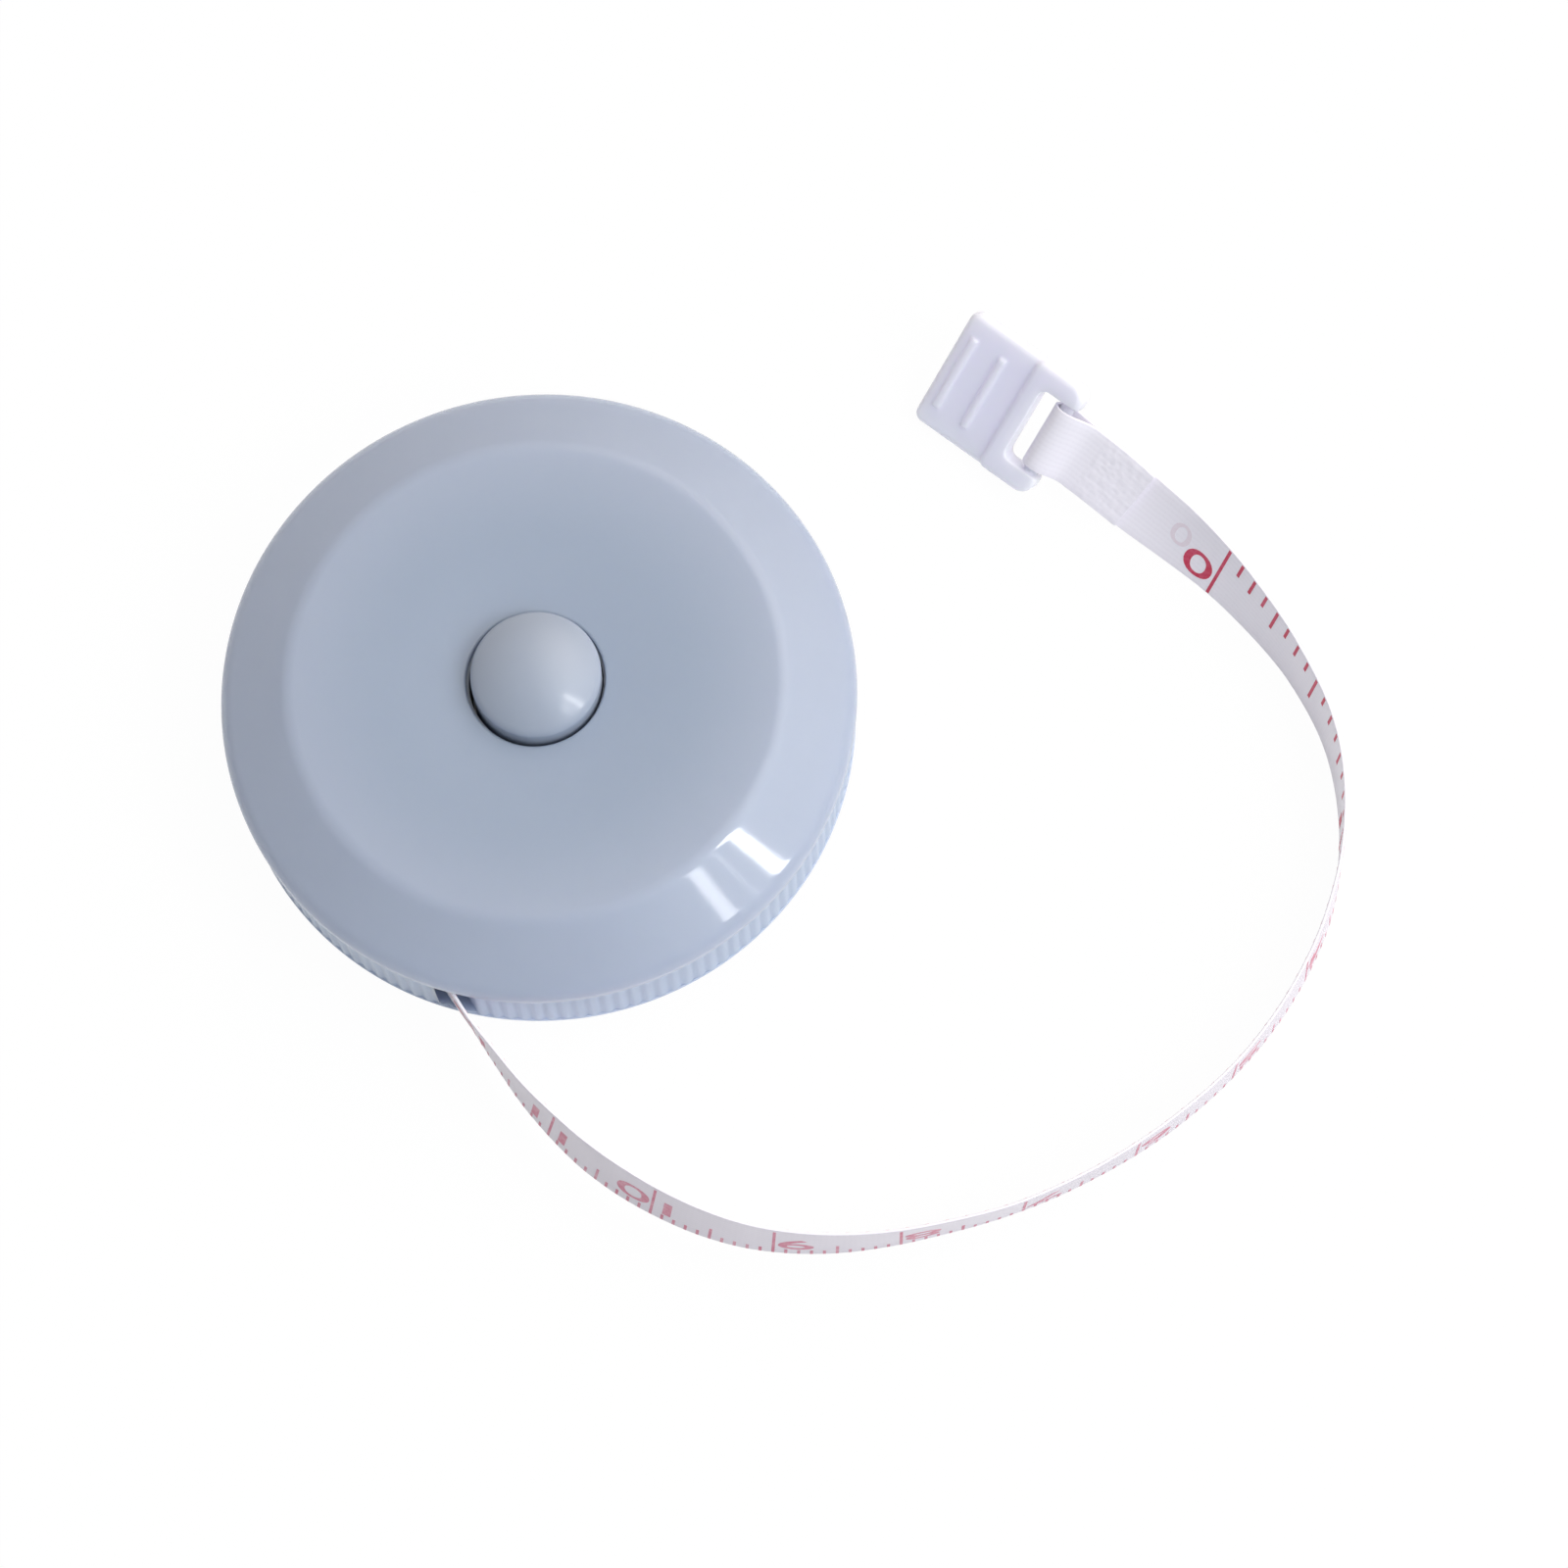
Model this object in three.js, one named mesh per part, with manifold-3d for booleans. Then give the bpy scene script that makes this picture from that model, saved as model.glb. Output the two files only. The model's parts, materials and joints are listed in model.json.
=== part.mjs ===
// Pocket cloth tape measure: a round two-shell case with a spring reel inside, a press button in the
// middle of the lid that lifts the reel brake, and a printed tape that leaves a mouth in the ribbed
// band and ends in a slotted pull tab. Millimetres, +Z along the button, origin under the case.
import * as THREE from 'three';
import { mergeVertices } from 'three/addons/utils/BufferGeometryUtils.js';
import Module from 'manifold-3d';

const wasm = await Module();
wasm.setup();

// Tape
const TAPE_WIDTH = 5.8;
const TAPE_THICKNESS = 0.4;
const WOUND_LENGTH = 1360;
const TAPE_PLAY = 0.25;
const LEAD_WRAP = 60;
const FOLD_TAIL = 5.8;

// Reel
const DRUM_RADIUS = 12.7;
const DRUM_WALL = 1.1;
const FLANGE_THICKNESS = 0.6;
const FLANGE_MARGIN = 0.9;
const PACK_SEAT = 0.15;
const COLLAR_WALL = 0.85;
const ANCHOR_SLIT_WIDTH = 1.2;
const COVER_RING_WALL = 0.7;
const COVER_RING_HEIGHT = 0.6;

// Case
const WALL = 1.3;
const REEL_ROOM = 3.3;
const SPIGOT_WALL = 0.8;
const SPIGOT_DEPTH = 1.2;
const LID_LIP_HEIGHT = 0.9;
const BASE_LIP_HEIGHT = 0.3;
const LIP_STRAIGHT = 0.05;
const LIP_ROUND = 1.3;
const LID_LIP_OVERHANG = 0.25;
const BASE_LIP_OVERHANG = 0.05;
const LID_BEVEL_WIDTH = 5.7;
const BASE_BEVEL_WIDTH = 2.8;
const BASE_BEVEL_RISE = 1.5;
const FACE_EDGE_SOFTNESS = 0.65;
const PARTING_GAP = 0.2;
const MOUTH_WIDTH = 2.2;
const MOUTH_HEADING = -61.5;
const RIB_COUNT = 150;
const RIB_DEPTH = 0.25;
const RIB_CREST_SHARE = 0.4;

// Button, brake and springs
const BUTTON_RADIUS = 5.2;
const BUTTON_PROUD = 1.5;
const BUTTON_DOME = 1.75;
const BUTTON_EDGE_RADIUS = 0.5;
const BUTTON_EDGE_RISE = 0.33;
const BUTTON_WALL = 1.0;
const BUTTON_TRAVEL = 1.2;
const BUTTON_PLAY = 0.35;
const HOLE_CHAMFER = 0.2;
const BOSS_WALL = 1.2;
const BRAKE_ROOM = 2.0;
const BRAKE_FLANGE_WIDTH = 2.4;
const BRAKE_FLANGE_THICKNESS = 0.7;
const BRAKE_PAD_THICKNESS = 0.35;
const STEM_RADIUS = 1.5;
const SPINDLE_RADIUS = 3.4;
const SPINDLE_WALL = 0.7;
const SPRING_WIRE = 0.4;
const SPRING_TURNS = 9;
const MAINSPRING_STRIP = 0.25;
const MAINSPRING_TURNS = 8;

// Pull tab, with its bar's x and y from the mouth, and its heading and roll on the table
const TAB_LENGTH = 11.9;
const TAB_FREE_WIDTH = 10.9;
const TAB_BAR_END_WIDTH = 10.7;
const TAB_THICKNESS = 2.0;
const TAB_GRIP_DROP = 0.35;
const TAB_EDGE_ROUND = 0.5;
const TAB_FREE_CORNER = 1.0;
const TAB_BAR_CORNER = 1.6;
const TAB_JOIN_CORNER = 0.9;
const TAB_BAR_RADIUS = 0.6;
const TAB_BAR_INSET = 1.0;
const TAB_SLOT_LENGTH = 6.9;
const TAB_SLOT_WIDTH = 1.9;
const TAB_FRAME_WEB = 1.6;
const GRIP_RIB_COUNT = 2;
const GRIP_RIB_LENGTH = 7.0;
const GRIP_RIB_WIDTH = 0.7;
const GRIP_RIB_HEIGHT = 0.3;
const GRIP_RIB_EDGE = 0.12;
const GRIP_RIB_CORNER = 0.24;
const GRIP_RIB_PITCH = 2.9;
const GRIP_RIB_INSET = 1.4;
const TAB_REACH = [52.18, 42.29];
const TAB_HEADING = 137;
const TAB_ROLL = 40;

// Clearances
const RUN_GAP = 0.3;
const SEAT_GAP = 0.1;
const TAPE_LEAD_GAP = 0.2;
const TAPE_JOIN_GAP = 0.3;
const TAPE_BOND_GAP = 0.15;
const BRAKE_GAP = 0.25;
const LOOP_PLAY = 0.2;
const TABLE_GAP = 0.02;

// Facets
const CASE_STEPS = 72;
const REEL_STEPS = 48;
const BUTTON_STEPS = 36;
const CURVE_STEPS = 3;
const TAPE_STEPS = 72;
const LEAD_STEPS = 12;
const NOSE_STEPS = 8;
const LEG_STEPS = 3;
const BAR_STEPS = 12;
const EDGE_STEPS = 3;
const STRIP_STEPS_A_TURN = 24;
const WIRE_STEPS_A_TURN = 8;
const WIRE_SIDES = 5;

// Free tape on the table: x and y of its centre line from the mouth, the height of its lower edge, and
// how many degrees its top edge leans inwards
const TAPE_ROUTE = [
  [1.58, -2.89, 2.4, -2],
  [3.28, -5.74, 2.21, 1.5],
  [5.18, -8.74, 1.92, 5],
  [7.38, -11.54, 1.63, 8.6],
  [9.78, -14.14, 1.35, 11],
  [12.48, -16.44, 1.11, 11.6],
  [15.38, -18.44, 0.9, 10.6],
  [18.48, -20.14, 0.69, 9.3],
  [21.78, -21.44, 0.47, 7.2],
  [25.18, -22.24, 0.31, 5],
  [28.78, -22.64, 0.18, 2.6],
  [32.28, -22.64, 0.1, 0],
  [35.78, -22.34, 0.08, -2],
  [42.78, -21.14, 0.08, -4.4],
  [49.48, -18.84, 0.08, -3.4],
  [55.88, -15.54, 0.08, -1.4],
  [61.68, -11.24, 0.08, -0.8],
  [66.58, -5.84, 0.08, 2],
  [70.28, 0.56, 0.08, 4],
  [72.18, 7.56, 0.08, 1],
  [72.08, 14.86, 0.08, -4.4],
  [69.78, 21.66, 0.11, -10],
  [66.18, 27.86, 0.18, -21.5],
  [64.03, 30.81, 0.21, -28.7],
  [61.68, 33.56, 0.31, -38],
  [59.08, 36.16, 0.75, -45],
  [56.83, 38.36, 1.45, -49],
  [54.49, 40.54, 1.95, -50],
];

// Stack of heights, from the underside of the case up
const FLOOR = WALL;
const COVER_BOTTOM = FLOOR + RUN_GAP;
const COVER_TOP = COVER_BOTTOM + FLANGE_THICKNESS;
const TAPE_BOTTOM = COVER_TOP + TAPE_PLAY;
const TAPE_TOP = TAPE_BOTTOM + TAPE_WIDTH;
const TAPE_MIDDLE = TAPE_BOTTOM + TAPE_WIDTH / 2;
const WEB_BOTTOM = TAPE_TOP + TAPE_PLAY;
const WEB_TOP = WEB_BOTTOM + FLANGE_THICKNESS;
const CEILING = WEB_TOP + BRAKE_ROOM;
const LID_TOP = CEILING + WALL;
const LIP_BOTTOM = TAPE_TOP + PARTING_GAP;
const LIP_TOP = LIP_BOTTOM + LID_LIP_HEIGHT;
const LID_BEVEL_RISE = LID_TOP - LIP_TOP;
const BAND_BOTTOM = BASE_BEVEL_RISE + BASE_LIP_HEIGHT;
const BAND_TOP = LIP_BOTTOM - PARTING_GAP;
const PAD_TOP = WEB_BOTTOM - BRAKE_GAP;
const BRAKE_FLANGE_TOP = PAD_TOP - BRAKE_PAD_THICKNESS - SEAT_GAP;
const BRAKE_FLANGE_BOTTOM = BRAKE_FLANGE_TOP - BRAKE_FLANGE_THICKNESS;
const MAINSPRING_TOP = BRAKE_FLANGE_BOTTOM - BUTTON_TRAVEL - RUN_GAP;
const MAINSPRING_BOTTOM = COVER_TOP + COVER_RING_HEIGHT + RUN_GAP;
const STEM_BOTTOM = FLOOR + BUTTON_TRAVEL + RUN_GAP;
const BUTTON_RIM = LID_TOP + BUTTON_PROUD;
const CAP_UNDERSIDE = BUTTON_RIM + BUTTON_DOME - BUTTON_WALL;
const CAP_UNDERSIDE_RIM = BUTTON_RIM + BUTTON_EDGE_RISE - BUTTON_WALL;

// Stack of radii, from the button's axis outwards
const PACK_INNER = DRUM_RADIUS + PACK_SEAT;
const PACK_OUTER = Math.sqrt(PACK_INNER ** 2 + (WOUND_LENGTH * TAPE_THICKNESS) / Math.PI);
const LEAD_RADIUS = PACK_OUTER + TAPE_LEAD_GAP + TAPE_THICKNESS / 2;
const FLANGE_RADIUS = PACK_OUTER + FLANGE_MARGIN;
const SPIGOT_INNER = FLANGE_RADIUS + REEL_ROOM;
const SPIGOT_OUTER = SPIGOT_INNER + SPIGOT_WALL;
const WALL_INNER = SPIGOT_OUTER + RUN_GAP;
const BAND_RADIUS = WALL_INNER + WALL;
const CREST_RADIUS = BAND_RADIUS + RIB_DEPTH;
const LIP_RADIUS = CREST_RADIUS + LID_LIP_OVERHANG;
const BASE_RADIUS = CREST_RADIUS + BASE_LIP_OVERHANG;
const HOLE_RADIUS = BUTTON_RADIUS + BUTTON_PLAY;
const BOSS_RADIUS = HOLE_RADIUS + BOSS_WALL;
const COLLAR_INNER = BOSS_RADIUS + RUN_GAP;
const DRUM_INNER = DRUM_RADIUS - DRUM_WALL;
const BRAKE_FLANGE_RADIUS = BUTTON_RADIUS + BRAKE_FLANGE_WIDTH;
const WEB_HOLE_RADIUS = HOLE_RADIUS + RUN_GAP;
const CAP_INNER = BUTTON_RADIUS - BUTTON_WALL;
const SPINDLE_BORE = SPINDLE_RADIUS - SPINDLE_WALL;
const SPRING_RADIUS = (STEM_RADIUS + SPINDLE_BORE) / 2;

const UP = new THREE.Vector3(0, 0, 1);
const radians = THREE.MathUtils.degToRad;

// Solids and booleans

function toSolid(geometry) {
  const bare = geometry.index ? geometry.toNonIndexed() : geometry.clone();
  bare.deleteAttribute('normal');
  bare.deleteAttribute('uv');
  const merged = mergeVertices(bare, 1e-5);
  const vertProperties = new Float32Array(merged.attributes.position.array);
  const triVerts = new Uint32Array(merged.index.array);
  return new wasm.Manifold(new wasm.Mesh({ numProp: 3, vertProperties, triVerts }));
}

function toGeometry(solid) {
  const mesh = solid.getMesh();
  const geometry = new THREE.BufferGeometry();
  geometry.setAttribute('position', new THREE.BufferAttribute(mesh.vertProperties, 3));
  geometry.setIndex(new THREE.BufferAttribute(mesh.triVerts, 1));
  geometry.computeVertexNormals();
  return geometry;
}

// A profile of radius and height, turned about +Z
function turned(profile, steps) {
  const geometry = new THREE.LatheGeometry(profile, steps);
  geometry.rotateX(Math.PI / 2);
  return toSolid(geometry);
}

function profileOf(corners) {
  return corners.map(([radius, height]) => new THREE.Vector2(radius, height));
}

// A plain ring of rectangular section
function ring(inner, outer, bottom, top, steps) {
  const corners = [[inner, bottom], [outer, bottom], [outer, top], [inner, top], [inner, bottom]];
  return turned(profileOf(corners), steps);
}

// Rings of points joined one after the other, each counter-clockwise about the way it travels
function loft(rings) {
  const sides = rings[0].length;
  const positions = rings.flat().flatMap((point) => [point.x, point.y, point.z]);
  const index = [];
  for (let i = 0; i + 1 < rings.length; i += 1) {
    for (let k = 0; k < sides; k += 1) {
      const a = i * sides + k;
      const b = i * sides + ((k + 1) % sides);
      index.push(a, b, b + sides, a, b + sides, a + sides);
    }
  }
  const last = (rings.length - 1) * sides;
  for (let k = 1; k + 1 < sides; k += 1) {
    index.push(0, k + 1, k);
    index.push(last, last + k, last + k + 1);
  }
  const geometry = new THREE.BufferGeometry();
  geometry.setAttribute('position', new THREE.Float32BufferAttribute(positions, 3));
  geometry.setIndex(index);
  return geometry;
}

// A flat strip through a row of stations, each with a place and the direction of its width
function strip(stations, width, thickness) {
  const rings = stations.map((station, i) => {
    const before = stations[Math.max(i - 1, 0)].place;
    const after = stations[Math.min(i + 1, stations.length - 1)].place;
    const travel = after.clone().sub(before).normalize();
    const across = station.across.clone().addScaledVector(travel, -station.across.dot(travel)).normalize();
    const normal = travel.clone().cross(across);
    const corner = (a, n) => station.place.clone()
      .addScaledVector(across, (a * width) / 2)
      .addScaledVector(normal, (n * thickness) / 2);
    return [corner(1, 1), corner(-1, 1), corner(-1, -1), corner(1, -1)];
  });
  return loft(rings);
}

// Least distance between points of a winding that lie at least half a turn apart, less its thickness
function leastSelfGap(points, stepsATurn, thickness) {
  let least = Infinity;
  for (let i = 0; i < points.length; i += 1) {
    for (let j = i + Math.floor(stepsATurn / 2); j < points.length; j += 1) {
      least = Math.min(least, points[i].distanceTo(points[j]));
    }
  }
  return least - thickness;
}

// Where the wound tape leaves the reel in a straight line for the mouth

const leadWay = new THREE.Vector3(Math.cos(radians(MOUTH_HEADING)), Math.sin(radians(MOUTH_HEADING)), 0);
const leadStart = new THREE.Vector3(leadWay.y, -leadWay.x, 0).multiplyScalar(LEAD_RADIUS).setZ(TAPE_MIDDLE);

function alongLead(radius) {
  const run = Math.sqrt(radius ** 2 - LEAD_RADIUS ** 2);
  return leadStart.clone().addScaledVector(leadWay, run);
}

// A block along the lead, between two radii of the case and two heights
function leadBlock(fromRadius, toRadius, width, bottom, top) {
  const start = alongLead(fromRadius);
  const end = alongLead(toRadius);
  const geometry = new THREE.BoxGeometry(start.distanceTo(end), width, top - bottom);
  geometry.rotateZ(radians(MOUTH_HEADING));
  const middle = start.add(end).multiplyScalar(0.5).setZ((bottom + top) / 2);
  geometry.translate(middle.x, middle.y, middle.z);
  return toSolid(geometry);
}

// Case shells

// A shell's bevel, from its lip to its flat face, which lies above the lip on the lid, below it on the base
const lidBevel = {
  radius: LIP_RADIUS,
  foot: LIP_TOP,
  width: LID_BEVEL_WIDTH,
  rise: LID_BEVEL_RISE,
  lipHeight: LID_LIP_HEIGHT,
};
const baseBevel = {
  radius: BASE_RADIUS,
  foot: BASE_BEVEL_RISE,
  width: BASE_BEVEL_WIDTH,
  rise: -BASE_BEVEL_RISE,
  lipHeight: BASE_LIP_HEIGHT,
};

// How far a bevel's inner face lies above or below its outer one
function innerDrop({ width, rise }) {
  return (Math.sign(rise) * WALL * Math.hypot(width, rise)) / width;
}

// Height of a bevel's inner face at a radius
function innerBevelHeight(bevel, radius) {
  return bevel.foot + ((bevel.radius - radius) * bevel.rise) / bevel.width - innerDrop(bevel);
}

// Radius at which a bevel's inner face meets a flat inner face
function innerFaceRadius(bevel, height) {
  return bevel.radius - ((height - bevel.foot + innerDrop(bevel)) * bevel.width) / bevel.rise;
}

// Adds a bevel with its two soft edges to a profile, from the lip to the flat face or the other way round
function addBevel(path, { radius, foot, width, rise, lipHeight }, fromLip) {
  const inwards = new THREE.Vector2(-width, rise).normalize();
  const lip = new THREE.Vector2(radius, foot);
  const face = new THREE.Vector2(radius - width, foot + rise);
  const lipLow = new THREE.Vector2(radius, foot - Math.sign(rise) * (lipHeight - LIP_STRAIGHT));
  const lipHigh = lip.clone().addScaledVector(inwards, LIP_ROUND);
  const faceLow = face.clone().addScaledVector(inwards, -FACE_EDGE_SOFTNESS);
  const faceHigh = new THREE.Vector2(face.x - FACE_EDGE_SOFTNESS, face.y);
  const stops = [[lipLow, lip, lipHigh], [faceLow, face, faceHigh]];
  const order = fromLip ? stops : stops.reverse().map((stop) => stop.reverse());
  for (const [from, corner, to] of order) {
    path.lineTo(from.x, from.y);
    path.quadraticCurveTo(corner.x, corner.y, to.x, to.y);
  }
}

function topShell() {
  const path = new THREE.Path();
  const bossBottom = WEB_TOP + RUN_GAP;
  const spigotBottom = LIP_BOTTOM - SPIGOT_DEPTH;
  path.moveTo(HOLE_RADIUS, bossBottom);
  path.lineTo(BOSS_RADIUS, bossBottom);
  path.lineTo(BOSS_RADIUS, CEILING);
  path.lineTo(innerFaceRadius(lidBevel, CEILING), CEILING);
  path.lineTo(SPIGOT_INNER, innerBevelHeight(lidBevel, SPIGOT_INNER));
  path.lineTo(SPIGOT_INNER, spigotBottom);
  path.lineTo(SPIGOT_OUTER, spigotBottom);
  path.lineTo(SPIGOT_OUTER, LIP_BOTTOM);
  path.lineTo(LIP_RADIUS, LIP_BOTTOM);
  addBevel(path, lidBevel, true);
  path.lineTo(HOLE_RADIUS + HOLE_CHAMFER, LID_TOP);
  path.lineTo(HOLE_RADIUS, LID_TOP - HOLE_CHAMFER);
  path.lineTo(HOLE_RADIUS, bossBottom);
  const shell = turned(path.getPoints(CURVE_STEPS), CASE_STEPS);
  const notchWidth = MOUTH_WIDTH + 2 * RUN_GAP;
  const notch = leadBlock(FLANGE_RADIUS, LIP_RADIUS, notchWidth, spigotBottom - RUN_GAP, LIP_BOTTOM);
  return toGeometry(shell.subtract(notch));
}

// Ribs round the band, with flat crests and grooves between them
function gripBand() {
  const pitch = (2 * Math.PI) / RIB_COUNT;
  const crest = (RIB_CREST_SHARE * pitch) / 2;
  const points = [];
  for (let rib = 0; rib < RIB_COUNT; rib += 1) {
    for (const [turn, radius] of [[-pitch / 2, BAND_RADIUS], [-crest, CREST_RADIUS], [crest, CREST_RADIUS]]) {
      const angle = rib * pitch + turn;
      points.push(new THREE.Vector2(radius * Math.cos(angle), radius * Math.sin(angle)));
    }
  }
  const outline = new THREE.Shape(points);
  const bore = new THREE.Path();
  bore.absarc(0, 0, WALL_INNER + WALL / 2, 0, 2 * Math.PI, true);
  outline.holes.push(bore);
  const geometry = new THREE.ExtrudeGeometry(outline, {
    depth: BAND_TOP - BAND_BOTTOM,
    bevelEnabled: false,
    curveSegments: REEL_STEPS,
  });
  geometry.translate(0, 0, BAND_BOTTOM);
  return toSolid(geometry);
}

function bottomShell() {
  const path = new THREE.Path();
  path.moveTo(0, 0);
  addBevel(path, baseBevel, false);
  path.lineTo(BASE_RADIUS, BAND_BOTTOM);
  path.lineTo(BAND_RADIUS, BAND_BOTTOM);
  path.lineTo(BAND_RADIUS, BAND_TOP);
  path.lineTo(WALL_INNER, BAND_TOP);
  path.lineTo(WALL_INNER, innerBevelHeight(baseBevel, WALL_INNER));
  path.lineTo(innerFaceRadius(baseBevel, FLOOR), FLOOR);
  path.lineTo(SPINDLE_RADIUS, FLOOR);
  path.lineTo(SPINDLE_RADIUS, MAINSPRING_TOP);
  path.lineTo(SPINDLE_BORE, MAINSPRING_TOP);
  path.lineTo(SPINDLE_BORE, FLOOR);
  path.lineTo(0, FLOOR);
  const shell = turned(path.getPoints(CURVE_STEPS), CASE_STEPS);
  const mouthEnd = LIP_RADIUS + WALL;
  const window = leadBlock(FLANGE_RADIUS, mouthEnd, MOUTH_WIDTH, TAPE_BOTTOM - TAPE_PLAY, LIP_BOTTOM);
  return toGeometry(shell.add(gripBand()).subtract(window));
}

// Reel

function reel() {
  const collarOuter = COLLAR_INNER + COLLAR_WALL;
  const collarTop = CEILING - RUN_GAP;
  const corners = [
    [DRUM_INNER, TAPE_BOTTOM],
    [DRUM_RADIUS, TAPE_BOTTOM],
    [DRUM_RADIUS, WEB_BOTTOM],
    [FLANGE_RADIUS, WEB_BOTTOM],
    [FLANGE_RADIUS, WEB_TOP],
    [collarOuter, WEB_TOP],
    [collarOuter, collarTop],
    [COLLAR_INNER, collarTop],
    [COLLAR_INNER, WEB_TOP],
    [WEB_HOLE_RADIUS, WEB_TOP],
    [WEB_HOLE_RADIUS, WEB_BOTTOM],
    [DRUM_INNER, WEB_BOTTOM],
    [DRUM_INNER, TAPE_BOTTOM],
  ];
  const body = turned(profileOf(corners), REEL_STEPS);
  const slitDepth = 2 * DRUM_WALL;
  const slit = new THREE.BoxGeometry(slitDepth, ANCHOR_SLIT_WIDTH, TAPE_WIDTH);
  slit.translate(DRUM_RADIUS - DRUM_WALL / 2, 0, TAPE_MIDDLE - TAPE_PLAY);
  return toGeometry(body.subtract(toSolid(slit)));
}

// Lower flange of the reel, with a ring that seats inside the drum
function reelCover() {
  const ringOuter = DRUM_INNER - RUN_GAP;
  const corners = [
    [SPINDLE_RADIUS + RUN_GAP, COVER_BOTTOM],
    [FLANGE_RADIUS, COVER_BOTTOM],
    [FLANGE_RADIUS, COVER_TOP],
    [ringOuter, COVER_TOP],
    [ringOuter, COVER_TOP + COVER_RING_HEIGHT],
    [ringOuter - COVER_RING_WALL, COVER_TOP + COVER_RING_HEIGHT],
    [ringOuter - COVER_RING_WALL, COVER_TOP],
    [SPINDLE_RADIUS + RUN_GAP, COVER_TOP],
    [SPINDLE_RADIUS + RUN_GAP, COVER_BOTTOM],
  ];
  return toGeometry(turned(profileOf(corners), REEL_STEPS));
}

// Flat power spring between the spindle and the drum
function mainspring() {
  const inner = SPINDLE_RADIUS + SEAT_GAP + MAINSPRING_STRIP / 2;
  const outer = DRUM_INNER - RUN_GAP - MAINSPRING_STRIP / 2;
  const steps = MAINSPRING_TURNS * STRIP_STEPS_A_TURN;
  const stations = [];
  for (let i = 0; i <= steps; i += 1) {
    const angle = (2 * Math.PI * i) / STRIP_STEPS_A_TURN;
    const radius = inner + ((outer - inner) * i) / steps;
    const height = (MAINSPRING_BOTTOM + MAINSPRING_TOP) / 2;
    const place = new THREE.Vector3(radius * Math.cos(angle), radius * Math.sin(angle), height);
    stations.push({ place, across: UP });
  }
  const gap = leastSelfGap(stations.map((station) => station.place), STRIP_STEPS_A_TURN, MAINSPRING_STRIP);
  console.log(`mainspring least gap ${gap.toFixed(2)} mm`);
  return strip(stations, MAINSPRING_TOP - MAINSPRING_BOTTOM, MAINSPRING_STRIP);
}

// Button and brake

function pushButton() {
  const path = new THREE.Path();
  path.moveTo(0, STEM_BOTTOM);
  path.lineTo(STEM_RADIUS, STEM_BOTTOM);
  path.lineTo(STEM_RADIUS, CAP_UNDERSIDE);
  path.lineTo(CAP_INNER, CAP_UNDERSIDE_RIM);
  path.lineTo(CAP_INNER, BRAKE_FLANGE_BOTTOM);
  path.lineTo(BRAKE_FLANGE_RADIUS, BRAKE_FLANGE_BOTTOM);
  path.lineTo(BRAKE_FLANGE_RADIUS, BRAKE_FLANGE_TOP);
  path.lineTo(BUTTON_RADIUS, BRAKE_FLANGE_TOP);
  path.lineTo(BUTTON_RADIUS, BUTTON_RIM - BUTTON_EDGE_RADIUS);
  const domeEdge = BUTTON_RADIUS - BUTTON_EDGE_RADIUS;
  path.quadraticCurveTo(BUTTON_RADIUS, BUTTON_RIM, domeEdge, BUTTON_RIM + BUTTON_EDGE_RISE);
  path.quadraticCurveTo(BUTTON_RADIUS / 2, BUTTON_RIM + BUTTON_DOME, 0, BUTTON_RIM + BUTTON_DOME);
  return toGeometry(turned(path.getPoints(CURVE_STEPS), BUTTON_STEPS));
}

// Friction ring that the button's flange presses against the reel
function brakeRing() {
  const inner = BUTTON_RADIUS + SEAT_GAP;
  const outer = BRAKE_FLANGE_RADIUS - SEAT_GAP;
  return toGeometry(ring(inner, outer, PAD_TOP - BRAKE_PAD_THICKNESS, PAD_TOP, BUTTON_STEPS));
}

function buttonSpring() {
  const bottom = FLOOR + SEAT_GAP + SPRING_WIRE / 2;
  const seatShare = (SPRING_RADIUS + SPRING_WIRE / 2 - STEM_RADIUS) / (CAP_INNER - STEM_RADIUS);
  const seat = THREE.MathUtils.lerp(CAP_UNDERSIDE, CAP_UNDERSIDE_RIM, seatShare);
  const top = seat - SEAT_GAP - SPRING_WIRE / 2;
  const steps = SPRING_TURNS * WIRE_STEPS_A_TURN;
  const middles = [];
  const rings = [];
  for (let i = 0; i <= steps; i += 1) {
    const angle = (2 * Math.PI * i) / WIRE_STEPS_A_TURN;
    const out = new THREE.Vector3(Math.cos(angle), Math.sin(angle), 0);
    const middle = out.clone().multiplyScalar(SPRING_RADIUS).setZ(bottom + ((top - bottom) * i) / steps);
    middles.push(middle);
    rings.push(Array.from({ length: WIRE_SIDES }, (_, k) => {
      const turn = (2 * Math.PI * k) / WIRE_SIDES;
      return middle.clone()
        .addScaledVector(UP, (Math.cos(turn) * SPRING_WIRE) / 2)
        .addScaledVector(out, (Math.sin(turn) * SPRING_WIRE) / 2);
    }));
  }
  const gap = leastSelfGap(middles, WIRE_STEPS_A_TURN, SPRING_WIRE);
  console.log(`button spring least gap ${gap.toFixed(2)} mm`);
  return loft(rings);
}

// Tape

function tapePack() {
  return toGeometry(ring(PACK_INNER, PACK_OUTER, TAPE_BOTTOM, TAPE_TOP, REEL_STEPS));
}

const leadEnd = alongLead(BAND_RADIUS - WALL / 2);

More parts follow.
